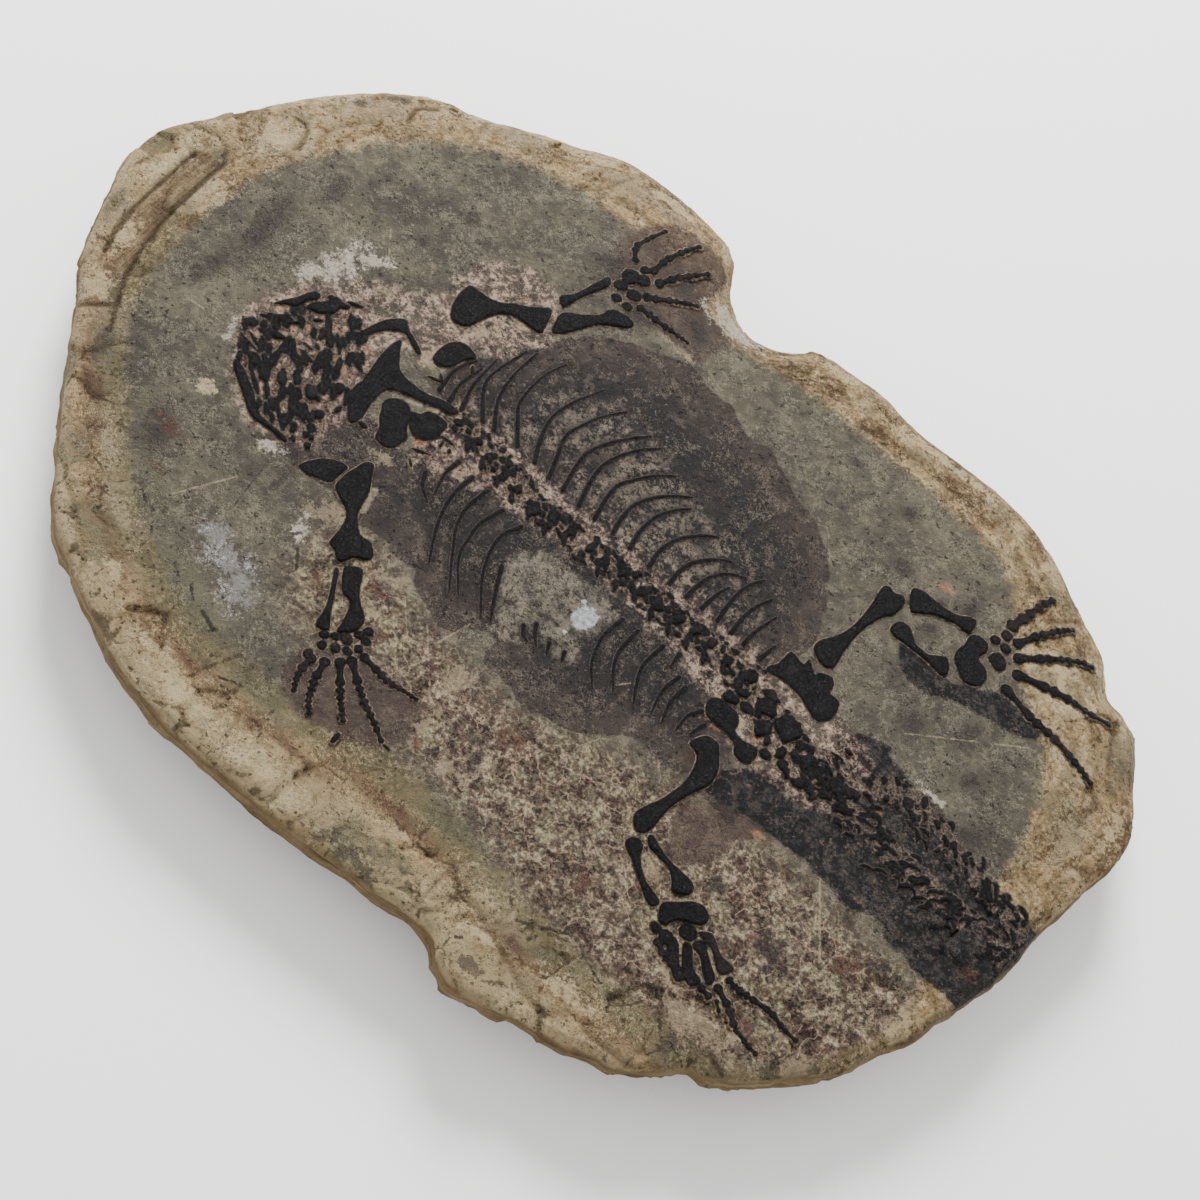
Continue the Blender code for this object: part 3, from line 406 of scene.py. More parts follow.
# Loose pieces of ribs, and the rib whose piece they belong to
LOOSE_RIB_NODE = "rib_near_05"
LOOSE_RIBS = [
    [(-45.6, -6), (-43.6, -10), (-39.4, -13)], [(-13.2, -13.8), (-9.6, -21.2), (-5.2, -29)],
    [(4, -20.6), (5.6, -23.4), (8, -26)], [(1.8, -23.4), (3.2, -25.4), (5.4, -26.4)],
    [(14.6, -22), (15.6, -24.8)], [(45, -7.8), (44.4, -13.5), (46, -20.4)],
    [(52.2, -10.2), (50.2, -14), (50.2, -19.4)], [(-58.6, 16), (-59.4, 24), (-57, 31)],
    [(38, -1), (38.4, -6)], [(10, -22.6), (11.4, -26)], [(55, -13), (53.6, -18)],
    [(34.6, 14), (35.4, 20.6), (36.8, 24.6)],
]

# Digits: joints of each finger or toe from its root to its tip, then the root's half width
FAR_HAND = [
    ([(-35, 77.6), (-29.6, 77.6), (-24, 78), (-19.8, 78.2), (-16.6, 78.2)], 1.2),
    ([(-33.4, 82.4), (-28.4, 86.4), (-25, 88.6), (-21.7, 90.6)], 1.2),
    ([(-35.4, 87), (-32.4, 93), (-29.4, 97.4), (-25.8, 102)], 1.3),
    ([(-38.6, 89), (-38.2, 96), (-36, 102.4), (-33.4, 108)], 1.3),
    ([(-44, 88.6), (-47.4, 93), (-46, 98.6), (-43.8, 104.6)], 1.1),
]
FAR_HAND_CARPALS = [
    (-42, 84, 2.6, 2.8), (-38.4, 85.6, 2.2, 2), (-42.6, 79.6, 2.2, 2), (-38, 79.6, 2.4, 2.2),
    (-37, 75.2, 1.8, 1.6), (-34.6, 82, 1.6, 1.6), (-41, 75.4, 1.8, 1.6), (-40.6, 88.6, 1.6, 1.4),
]
FAR_FOOT = [
    ([(103.2, 69.5), (105.2, 76.7), (106.7, 82.8), (108.6, 87.6)], 1.7),
    ([(107, 66.2), (111.2, 74.3), (114.1, 78.5), (116.3, 81.4), (118.3, 83.9)], 1.4),
    ([(109.1, 62.9), (116.3, 69.2), (120.8, 73), (124.8, 76.1), (129.1, 78.2)], 1.4),
    ([(111.3, 59), (122.2, 62.3), (129, 63.7), (134.4, 64), (141.8, 66.2)], 1.5),
    ([(111.1, 53.8), (123.5, 51), (129.9, 50.9), (138.1, 49.2), (142.7, 48), (146.7, 46.8)], 1.5),
]
FAR_FOOT_TARSALS = [
    (106.5, 58.9, 2.9, 2.7), (104, 67.4, 1.7, 1.7), (102.2, 63.9, 1.6, 1.4),
    (105.9, 63.8, 1.7, 1.6),
]
NEAR_HAND = [
    ([(-33.3, -67.4), (-33.2, -73.4), (-32, -76.4), (-30.5, -79)], 1.3),
    ([(-30.3, -65.8), (-28.9, -72.4), (-27.5, -75.9), (-25.8, -78.8), (-23.4, -81.2)], 1.3),
    ([(-27.9, -63.5), (-22.7, -69.8), (-20.1, -72.7), (-18, -74.8), (-15.7, -76.8)], 1.3),
    ([(-26.2, -61.4), (-19.4, -66.3), (-16.4, -68.3), (-12.9, -70.1), (-9.1, -72),
      (-4.9, -74.4)], 1.3),
    ([(-24.5, -59.1), (-17.8, -60), (-13.9, -60.4), (-10.4, -59.5), (-8.1, -59.4),
      (-5.4, -59)], 1.2),
]
NEAR_HAND_CARPALS = [
    (-35, -61.3, 1.5, 1.3), (-32.7, -59.9, 1.4, 1.2), (-30.2, -58.2, 1.9, 1.7),
    (-28.4, -55.2, 1.5, 1.4), (-27.1, -52.9, 1.4, 1.4), (-33.6, -63.9, 1.4, 1.3),
    (-30.6, -62.2, 1.5, 1.4), (-27.7, -60.9, 1.5, 1.3), (-25.9, -58.4, 1.4, 1.3),
    (-25.8, -55.6, 1.4, 1.3), (-34.8, -68.2, 1.2, 1.6), (-14.7, -81.4, 0.8, 1.8),
    (-3.6, -74.5, 1.1, 0.5),
]
NEAR_FOOT = [
    ([(79.8, -68.2), (84, -70.8), (87.2, -71.6)], 1.1),
    ([(98.6, -67.8), (104.6, -70.4), (108.8, -73.6), (113.5, -75), (117.5, -75.6)], 1.2),
    ([(99.8, -64.4), (103.4, -65.2), (107.4, -64.8), (113.6, -64.2), (118.6, -65.6),
      (123.6, -65.9)], 1.2),
    ([(95.4, -71), (99.8, -71.6)], 1.1), ([(100.8, -70.8), (103.6, -73.2)], 0.6),
]
NEAR_FOOT_PLATES = [
    [(87.6, -59.7), (89.8, -57.7), (92.2, -58.8), (95.6, -60.8), (99.7, -61.2), (99.2, -63.8),
     (97.5, -65), (95.3, -63.7), (92.8, -61.4), (90, -60.8)],
    [(87.8, -62.4), (90, -60.9), (93.6, -63.8), (97.6, -66.6), (97, -69.6), (94, -67.4),
     (91, -64.6), (88.4, -64)],
    [(85.8, -64.2), (88.2, -64), (91.6, -68.2), (95.2, -69.6), (93.8, -72.6), (90.4, -71.2),
     (87.2, -67.2)],
    [(82.8, -65), (85.2, -65.8), (88.2, -69.7), (91.7, -71.8), (90, -74), (86.2, -71.4),
     (83.2, -68.4)],
]
NEAR_FOOT_TARSALS = [
    (85.2, -61.6, 2.8, 2.5), (81.5, -66.4, 2.2, 1.9), (78, -66.2, 1.7, 1.5), (88, -59.6, 0.8, 0.8),
]

# Skull splinters: both ends and the greatest half width
SPLINTERS = [
    (-101, 10.6, -94, 17.6, 2.3), (-98.6, 15.2, -92.4, 19.2, 1.1), (-94.4, 19.6, -89.8, 21.6, 0.7),
    (-105.6, 1.6, -100.6, 4.6, 1.5), (-110.2, -5, -107, -2.8, 1.7),
    (-107.4, -6.4, -101.4, -8.6, 0.5), (-109.6, -8.4, -101, -9.8, 0.45),
    (-106, -4.2, -98.6, -1.2, 1.1), (-98.6, 0.4, -97.2, -6, 1.2), (-98, -5, -96, -12.6, 1.3),
    (-103, -10.6, -99.4, -13.6, 1.5), (-98.6, -10, -93.6, -15.6, 1.6),
    (-99.6, -14.8, -92.8, -19.4, 0.7), (-94.2, -1, -88.4, -1.8, 0.55), (-96, -2.6, -89, -3.6, 0.5),
    (-96, -4.1, -89.6, -5.2, 0.45), (-88.6, 4.6, -86.4, -2.6, 1.9), (-91.4, 17.6, -86.2, 12, 0.9),
    (-88.4, 12.4, -85.6, 11.4, 1.1), (-96.4, 13, -88.6, 5.4, 0.75), (-93.4, 9.6, -92, 5, 0.9),
    (-90.2, 10.2, -85, 5.2, 0.7), (-83.6, 8.4, -77.2, 5.2, 1.1), (-81.6, 10.6, -78.6, 7.4, 0.7),
    (-84.6, 4.8, -82.4, 1.4, 1), (-80.4, -3, -77, -3, 2), (-75.6, -8, -73.8, -8, 1.3),
    (-78.6, -12, -76, -13.6, 1.6), (-85.6, -7.6, -81.4, -10.4, 1.5),
    (-81.6, -8.6, -79.8, -9.8, 0.8), (-90.4, -6, -88.4, -9.8, 0.8), (-93.4, -10, -89.6, -13, 1.5),
    (-89.2, -10.6, -86, -14, 0.9), (-86.4, -13, -82, -17.8, 1.5), (-82.4, -12.8, -79, -17.6, 1.5),
    (-79.8, -14.2, -77.2, -17, 0.7), (-88.4, -17, -83.4, -22, 0.6), (-84.4, -19, -81.2, -22, 1),
    (-87, -21, -84.6, -23.6, 0.7), (-80.6, -19, -79, -22.4, 0.9), (-90.6, -13, -86.6, -19, 0.5),
    (-95.6, 13, -91.8, 9.4, 0.6), (-103.6, 7.6, -100.6, 10, 1), (-84, 15.6, -83, 12, 0.8),
    (-81.6, -5, -80.6, -7.4, 0.7), (-94.6, 1.4, -91, 1, 0.45), (-84.8, -1.4, -82.4, -4.4, 1),
    (-77, -19.4, -75, -20.6, 1), (-74.4, -21.6, -72.6, -23, 1), (-78.4, -22.6, -76.6, -24, 0.7),
    (-102, 2.6, -99, 5.6, 0.6), (-108.8, -0.6, -106, 1, 0.6), (-97.4, 8.4, -95.2, 10.4, 0.7),
    (-92, 3.4, -90.2, 2.4, 0.6),
]
GIRDLE_PLATES = [
    [(-67.4, 3), (-65.6, 5.7), (-62.2, 6.6), (-60.2, 5), (-59.2, 1), (-56.4, -4), (-58.4, -7.2),
     (-61.9, -8), (-61.4, -5), (-63.6, -1.6), (-66.4, 0.4)],
    [(-60.4, 4.6), (-57.2, 6.8), (-53.6, 8.2), (-49.4, 4.6), (-52.2, 0.8), (-55.6, 0.2)],
    [(-75.6, 3.6), (-75.9, -1.2), (-73.6, -5.4), (-70.6, -8), (-68.6, -7.6), (-71, -4.6),
     (-73, -1.6), (-73.8, 2.4)],
]
GIRDLE_BITS = [
    (-68.4, -7, -65.2, -7, 1), (-56, -20, -53, -26, 0.8), (-74.6, 4, -71, -6, 0.5),
    (-70.6, 10.6, -66, 9, 0.6), (-49.6, 5.2, -44.8, 5.4, 0.5), (-48, 4.4, -47.4, 2, 0.5),
    (-45.2, 4, -44.6, 2.2, 0.6), (-53, -3.4, -48, -1.4, 0.45), (-62, 20.6, -58, 17, 0.5),
    (-57, 29, -55, 26, 0.6), (-64, 17, -59, 18.6, 0.5), (-51.6, -6, -49, -8, 0.4),
]

# Sacrum and tail: lumps as x, y and half sizes
SACRUM = [
    (72.8, 2.2, 4.4, 3.6), (64.4, 2.8, 3.4, 2.6), (67.8, -2.8, 2.5, 3), (64, 6.4, 2.7, 1.6),
    (57, 7.4, 1.6, 1.3), (57.4, 1.6, 1.8, 1.6), (56, -1.6, 2.2, 1.8), (60.6, -1.2, 1.8, 1.4),
    (75.4, -5.2, 1.6, 2.6), (77.4, -7.6, 1.6, 1.6), (72.6, -8.6, 1.8, 1.6), (81.8, -2.8, 2.2, 2.2),
    (81, 1.2, 1, 1.2), (86.9, -2.6, 2.1, 2.3), (86.6, -7.8, 1.8, 1.8), (92.4, -3, 2.4, 2),
    (91.6, -6.6, 2, 1.6), (89.4, 7.6, 1.6, 0.8), (87.6, 4.4, 2.6, 0.5), (97, -1.2, 2, 1.8),
    (97.6, -6.8, 2, 1.6), (78.6, -3.2, 1.2, 1), (70.6, -5.4, 1, 1), (83.6, -9.4, 2.2, 1),
]


class BoneProperties(bpy.types.PropertyGroup):
    cell: FloatProperty(
        name="Cell", description="Spacing of the bones' surface points",
        default=0.42 * MM, min=0.2 * MM, unit="LENGTH")
    limb_height: FloatProperty(
        name="Limb height", description="How far limb bones stand above the rock",
        default=0.85 * MM, unit="LENGTH")
    plate_height: FloatProperty(
        name="Plate height", description="How far flat bones stand above the rock",
        default=0.6 * MM, unit="LENGTH")
    rib_height: FloatProperty(
        name="Rib height", description="How far ribs stand above the rock",
        default=0.45 * MM, unit="LENGTH")
    skull_height: FloatProperty(
        name="Skull height", description="How far the skull's splinters stand above the rock",
        default=0.9 * MM, unit="LENGTH")
    colour: FloatVectorProperty(
        name="Bone", description="Colour of the fossil bone", subtype="COLOR",
        default=srgb(8, 8, 9))
    worn_colour: FloatVectorProperty(
        name="Worn bone", description="Colour of worn bone", subtype="COLOR",
        default=srgb(46, 38, 35))
    seam_colour: FloatVectorProperty(
        name="Seam", description="Colour of the rock that rises round a bone", subtype="COLOR",
        default=srgb(168, 148, 120))
    seed: IntProperty(
        name="Seed", description="Seed of the small bones' irregular outlines", default=7)


class SlabProperties(bpy.types.PropertyGroup):
    voxel: FloatProperty(
        name="Voxel", description="Spacing of the rock's surface points",
        default=1.9 * MM, min=1.0 * MM, unit="LENGTH")
    face_colour: FloatVectorProperty(
        name="Split face", description="Colour of the fresh split face", subtype="COLOR",
        default=srgb(106, 100, 84))
    rim_colour: FloatVectorProperty(
        name="Rim", description="Colour of the weathered rim", subtype="COLOR",
        default=srgb(178, 150, 106))
    stain_colour: FloatVectorProperty(
        name="Stain", description="Colour of the body's dark stain", subtype="COLOR",
        default=srgb(50, 48, 46))
    matrix_colour: FloatVectorProperty(
        name="Matrix", description="Colour of the rock round the skull and spine",
        subtype="COLOR", default=srgb(158, 132, 114))
    crust_colour: FloatVectorProperty(
        name="Crust", description="Colour of the crust underneath", subtype="COLOR",
        default=srgb(136, 112, 76))
    seed: IntProperty(
        name="Seed", description="Seed of the broken blocks of the rim", default=3)


class StageProperties(bpy.types.PropertyGroup):
    floor_size: FloatProperty(
        name="Floor size", description="Edge of the square floor", default=6.0, unit="LENGTH")
    floor_colour: FloatVectorProperty(
        name="Floor", description="Colour of the studio floor", subtype="COLOR",
        default=(0.93, 0.93, 0.925))
    key_power: FloatProperty(
        name="Key light", description="Power of the large soft light in watts", default=34.0)
    sky_strength: FloatProperty(
        name="Surrounding light", description="Strength of the even light", default=1.3)


class Value:
    """A shader socket that Python's operators join with Math nodes."""

    def __init__(self, shader, socket):
        self.shader = shader
        self.socket = socket

    def math(self, operation, first, second):
        return self.shader.node("ShaderNodeMath", {"operation": operation}, {0: first, 1: second})

    def __add__(self, other):
        return self.math("ADD", self, other)

    __radd__ = __add__

    def __mul__(self, other):
        return self.math("MULTIPLY", self, other)

    __rmul__ = __mul__

    def __sub__(self, other):
        return self.math("SUBTRACT", self, other)

    def __rsub__(self, other):
        return self.math("SUBTRACT", other, self)

    def least(self, other):
        return self.math("MINIMUM", self, other)

    def most(self, other):
        return self.math("MAXIMUM", self, other)


class Shader:
    """One material's nodes, built up by method calls and by expressions on values."""

    def __init__(self, name):
        self.material = bpy.data.materials.new(name)
        self.material.use_nodes = True
        self.tree = self.material.node_tree
        self.surface = self.tree.nodes["Principled BSDF"]
        coordinates = self.node("ShaderNodeTexCoord", out="Object")
        self.place = self.node(
            "ShaderNodeVectorMath", {"operation": "SCALE"}, {0: coordinates, "Scale": 1.0 / MM})

    def node(self, kind, settings=None, inputs=None, out=0):
        made = self.tree.nodes.new(kind)
        for name, setting in (settings or {}).items():
            setattr(made, name, setting)
        for name, given in (inputs or {}).items():
            self.feed(made.inputs[name], given)
        return Value(self, made.outputs[out])

    def feed(self, socket, given):
        if isinstance(given, Value):
            self.tree.links.new(given.socket, socket)
        elif hasattr(given, "__len__") and socket.type == "RGBA":
            socket.default_value = (*tuple(given)[:3], 1.0)
        else:
            socket.default_value = given

    def attribute(self, name):
        return self.node("ShaderNodeAttribute", {"attribute_name": name}, out="Fac")

    def stretched(self, x, y, z):
        return self.node("ShaderNodeVectorMath", {"operation": "MULTIPLY"},
                         {0: self.place, 1: (x, y, z)})

    def noise(self, scale, detail=3.0, roughness=0.55, at=None):
        return self.node("ShaderNodeTexNoise", None, {
            "Vector": at or self.place, "Scale": scale, "Detail": detail, "Roughness": roughness})

    def cells(self, scale):
        return self.node("ShaderNodeTexVoronoi", {"feature": "F1"},
                         {"Vector": self.place, "Scale": scale})

    def warped_cells(self, scale, reach):
        """Distance from the borders of uneven cells."""
        shift = self.node("ShaderNodeTexNoise", None, {
            "Vector": self.place, "Scale": scale * 1.6, "Detail": 4.0, "Roughness": 0.65}, out=1)
        moved = self.node("ShaderNodeVectorMath", {"operation": "MULTIPLY_ADD"},
                          {0: shift, 1: (reach, reach, reach), 2: self.place})
        return self.node("ShaderNodeTexVoronoi", {"feature": "DISTANCE_TO_EDGE"},
                         {"Vector": moved, "Scale": scale})

    def step(self, value, low, high):
        """0 below low and 1 above high, smoothly."""
        return self.node("ShaderNodeMapRange", {"interpolation_type": "SMOOTHSTEP"}, {
            "Value": value, "From Min": low, "From Max": high})

    def mix(self, factor, first, second, blend="MIX"):
        return self.node("ShaderNodeMix", {"data_type": "RGBA", "blend_type": blend},
                         {0: factor, 6: first, 7: second}, out=2)

    def ramp(self, value, stops):
        made = self.tree.nodes.new("ShaderNodeValToRGB")
        elements = made.color_ramp.elements
        while len(elements) < len(stops):
            elements.new(0.5)
        for element, (position, colour) in zip(elements, stops):
            element.position = position
            element.color = (*colour, 1.0)
        self.feed(made.inputs[0], value)
        return Value(self, made.outputs[0])

    def line(self, flat_place, start_x, start_y, end_x, end_y):
        """Distance in millimetres from the line between two points of the split face."""
        along = Vector((end_x - start_x, end_y - start_y, 0.0))
        from_start = self.node("ShaderNodeVectorMath", {"operation": "SUBTRACT"},
                               {0: flat_place, 1: (start_x, start_y, 0.0)})
        share = self.node("ShaderNodeVectorMath", {"operation": "DOT_PRODUCT"},
                          {0: from_start, 1: along / along.length_squared}, out="Value")
        share = share.most(0.0).least(1.0)
        foot = self.node("ShaderNodeVectorMath", {"operation": "SCALE"}, {0: along, "Scale": share})
        return self.node("ShaderNodeVectorMath", {"operation": "DISTANCE"},
                         {0: from_start, 1: foot}, out="Value")

    def finish(self, colour, roughness, relief, depth):
        """Feeds the surface, with a relief of a greatest depth, and gives back the material."""
        bump = self.node("ShaderNodeBump", None, {
            "Strength": 1.0, "Distance": depth, "Height": relief})
        for name, given in (("Base Color", colour), ("Roughness", roughness), ("Normal", bump)):
            self.feed(self.surface.inputs[name], given)
        return self.material


def curve(corners, steps):
    """Points of the smooth curve from each corner to the next, without the first and last two."""
    line = []
    for a, b, c, d in zip(corners, corners[1:], corners[2:], corners[3:]):
        for k in range(steps):
            t = k / steps
            line.append(0.5 * (2 * b + (c - a) * t + (2 * a - 5 * b + 4 * c - d) * t * t
                               + (3 * b - 3 * c + d - a) * t ** 3))
    return line


def smooth_line(points, steps):
    """Points of the smooth curve through the given ones."""
    corners = [Vector(point) for point in points]
    before = 2 * corners[0] - corners[1]
    after = 2 * corners[-1] - corners[-2]
    return curve([before, *corners, after], steps) + [corners[-1]]


def smooth_loop(points, steps):
    """Points of the smooth closed curve through the given ones."""
    corners = [Vector(point) for point in points]
    return curve([corners[-1], *corners, *corners[:2]], steps)


def flat_array(points):
    return np.array([tuple(point) for point in points])


def segment_distance(places, start, end):
    """Distance of each place from a segment, and how far along it the nearest point is."""
    along = end - start
    share = np.clip(((places - start) @ along) / max(along @ along, 1e-9), 0.0, 1.0)
    foot = start + share[:, None] * along
    return np.hypot(*(places - foot).T), share


def loop_distance(places, loop):
    """Signed distance in millimetres from a closed outline, positive inside it."""
    corners = flat_array(loop)
    nearest = np.full(len(places), np.inf)
    inside = np.zeros(len(places), bool)
    for start, end in zip(corners, np.roll(corners, -1, axis=0)):
        distance, _ = segment_distance(places, start, end)
        nearest = np.minimum(nearest, distance)
        above = (start[1] > places[:, 1]) != (end[1] > places[:, 1])
        rise = end[1] - start[1] or 1e-9
        crossing = start[0] + (places[:, 1] - start[1]) * (end[0] - start[0]) / rise
        inside ^= above & (places[:, 0] < crossing)
    return np.where(inside, nearest, -nearest)


class Shape:
    """A bone seen from above: a closed outline, or a stroke that is wide at its points."""

    def __init__(self, points, height, radii=None, tone=0.5, seam=1.0):
        self.points = flat_array(points)
        self.radii = radii
        self.height = height
        self.tone = tone
        self.seam = seam
        reach = max(radii) if radii is not None else 0.0
        self.low = self.points.min(0) - reach
        self.high = self.points.max(0) + reach

    def measure(self, places):
        """How far inside the bone each place is, with the bone's height and tone there."""
        if self.radii is None:
            return loop_distance(places, self.points), self.height, self.tone
        deepest = np.full(len(places), -np.inf)
        for i in range(len(self.points) - 1):
            distance, share = segment_distance(places, self.points[i], self.points[i + 1])
            radius = self.radii[i] + (self.radii[i + 1] - self.radii[i]) * share
            deepest = np.maximum(deepest, radius - distance)
        return deepest, self.height, self.tone


class Crush:
    """Bone that broke in place: tilted angular pieces in a net, with some of them missing."""

    def __init__(self, outline, spacing, stretch, turn, kept, height, rng, seam=0.5):
        self.points = flat_array(smooth_loop(outline, 2))
        self.low = self.points.min(0)
        self.high = self.points.max(0)
        self.seam = seam
        angle = math.radians(turn)
        self.frame = np.array([[math.cos(angle) / stretch, -math.sin(angle)],
                               [math.sin(angle) / stretch, math.cos(angle)]])
        corners = np.array([self.low, self.high, (self.low[0], self.high[1]),
                            (self.high[0], self.low[1])]) @ self.frame
        low = corners.min(0) - 2.0 * spacing
        high = corners.max(0) + 2.0 * spacing
        seeds = []
        for row in range(int((high[1] - low[1]) / spacing)):
            for column in range(int((high[0] - low[0]) / spacing)):
                x = column + 0.5 * (row % 2) + rng.uniform(-0.4, 0.4)
                y = row + rng.uniform(-0.4, 0.4)
                seeds.append((low[0] + spacing * x, low[1] + spacing * y))
        self.seeds = np.array(seeds)
        count = len(seeds)
        self.kept = np.array([rng.random() < kept for _ in range(count)])
        self.heights = np.array([height * rng.uniform(0.45, 1.0) for _ in range(count)])
        self.tones = np.array([rng.random() for _ in range(count)])
        self.slopes = np.array([(rng.gauss(0.0, 0.2), rng.gauss(0.0, 0.2)) for _ in range(count)])

    def measure(self, places):
        turned = places @ self.frame
        first = np.full(len(places), 99.0)
        second = np.full(len(places), 99.0)
        owner = np.zeros(len(places), int)
        for k, seed in enumerate(self.seeds):
            distance = np.hypot(*(turned - seed).T)
            closer = distance < first
            second = np.where(closer, first, np.minimum(second, distance))
            owner = np.where(closer, k, owner)
            first = np.minimum(first, distance)
        border = (second - first) / 2.0
        edge = np.array([noise.noise(Vector((x, y, 2.0)) * 0.6) for x, y in places])
        zone = loop_distance(places, self.points) + 1.6 * edge
        inside = np.where(self.kept[owner], np.minimum(border - 0.12, zone), -border)
        inside = np.where(zone < 0.0, np.minimum(inside, zone), inside)
        tilt = ((turned - self.seeds[owner]) * self.slopes[owner]).sum(1)
        return inside, np.maximum(self.heights[owner] + tilt, 0.15), self.tones[owner]


def near_places(shape, places, margin):
    inside = (places > shape.low - margin) & (places < shape.high + margin)
    return np.flatnonzero(inside.all(1))


def spindle(x1, y1, x2, y2, half_width, height, tone, seam=1.0):
    """An angular splinter that is widest near its middle."""
    start = Vector((x1, y1))
    along = Vector((x2, y2)) - start
    across = Vector((-along.y, along.x)).normalized() * half_width
    points = []
    for share, side in ((0.0, 0.2), (0.2, 0.85), (0.6, 1.05), (1.0, 0.35), (0.96, -0.35),
                        (0.7, -0.95), (0.26, -0.8), (0.02, -0.3)):
        shift = 0.22 * noise.noise(Vector((x1 + 3.1 * share, y1 + 2.3 * side, 0.5)))
        points.append(start + along * (share + shift * 0.4) + across * side * (1.0 + 2.0 * shift))
    return Shape(points, height, None, tone, seam)


def small_bone(start, end, end_radius, waist, height, tone):
    """A finger bone: two rounded ends and a thinner shaft."""
    a = Vector(start)
    b = Vector(end)
    gap = (b - a).normalized() * 0.92 * end_radius
    points = [a + gap, a.lerp(b, 0.4), a.lerp(b, 0.65), b - gap]
    return Shape(points, height, [end_radius, waist, waist, end_radius * 0.9], tone)


def digit_shapes(digits, height, rng):
    shapes = []
    for joints, root in digits:
        for i, (start, end) in enumerate(zip(joints, joints[1:])):
            shrink = 1.0 - 0.5 * i / max(len(joints) - 1, 1)
            length = math.dist(start, end)
            radius = min(DIGIT_WIDTH * root * shrink * rng.uniform(0.92, 1.08), 0.36 * length)
            high = height * (0.7 + 0.3 * shrink)
            shapes.append(small_bone(start, end, radius, radius * 0.55, high, rng.random()))
    return shapes


def lump(x, y, half_x, half_y, height, rng, corners=9, jag=0.15):
    """A small bone with an uneven outline."""
    points = []
    for k in range(corners):
        angle = math.tau * k / corners
        reach = rng.uniform(1.0 - jag, 1.0 + jag)
        points.append((x + half_x * reach * math.cos(angle), y + half_y * reach * math.sin(angle)))
    return Shape(points, height, None, rng.random())


def cad_outline(node):
    """The outline of a CAD plate, in millimetres, from the edges round its flat sole."""
    bm = bmesh.new()
    bm.from_mesh(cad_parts[node].data)
    bmesh.ops.remove_doubles(bm, verts=bm.verts, dist=WELD)
    sole_level = min(vert.co.z for vert in bm.verts) + 1e-5
    sole = {face for face in bm.faces if all(vert.co.z < sole_level for vert in face.verts)}
    edges = [edge for edge in bm.edges if sum(face in sole for face in edge.link_faces) == 1]
    loop = [edges[0].verts[0], edges[0].verts[1]]
    unused = set(edges[1:])
    while unused:
        onward = next(edge for edge in unused if loop[-1] in edge.verts)
        unused.remove(onward)
        loop.append(onward.other_vert(loop[-1]))
    outline = [vert.co.to_2d() / MM for vert in loop[:-1]]
    bm.free()
    return outline


def slab_tree():
    bm = bmesh.new()
    bm.from_mesh(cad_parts["slab"].data)
    tree = BVHTree.FromBMesh(bm)
    bm.free()
    return tree


def swell(x, y):
    """Gentle unevenness of the split face, in millimetres."""
    wide = noise.noise(Vector((x, y, 3.0)) * SWELL_SCALE)
    fine = noise.noise(Vector((x, y, 40.0)) * RIPPLE_SCALE)
    crumb = noise.noise(Vector((x, y, 70.0)) * CRUMB_SCALE)
    return SWELL * wide + RIPPLE * fine + CRUMB * crumb


def rock_levels(places, tree):
    """Height of the rock's surface in millimetres at places on the split face."""
    levels = np.empty(len(places))
    above = 60.0 * MM
    for i, (x, y) in enumerate(places):
        hit = tree.ray_cast(Vector((x * MM, y * MM, above)), Vector((0, 0, -1)))[0]
        base = hit.z / MM if hit else FACE_LEVEL
        levels[i] = base + swell(x, y)
    return levels


def bone_surface(shapes, places):
    """Height over the rock, depth inside the bone, tone and seam at every place."""
    height = np.full(len(places), -SKIRT)
    depth = np.full(len(places), -10.0)
    tone = np.zeros(len(places))
    seam = np.zeros(len(places))
    for shape in shapes:
        near = near_places(shape, places, SKIRT + 0.3)
        inside, high, shade = shape.measure(places[near])
        dome = high * (1.0 - np.exp(-np.maximum(inside, 0.0) / (SHOULDER + 0.2 * high)))
        level = LIP + dome + np.minimum(inside, 0.0) * SKIRT_SLOPE
        better = level > height[near]
        chosen = near[better]
        height[chosen] = level[better]
        tone[chosen] = np.broadcast_to(shade, len(near))[better]
        seam[chosen] = shape.seam
        deeper = inside > depth[near]
        depth[near[deeper]] = inside[deeper]
    return height, depth, tone, seam


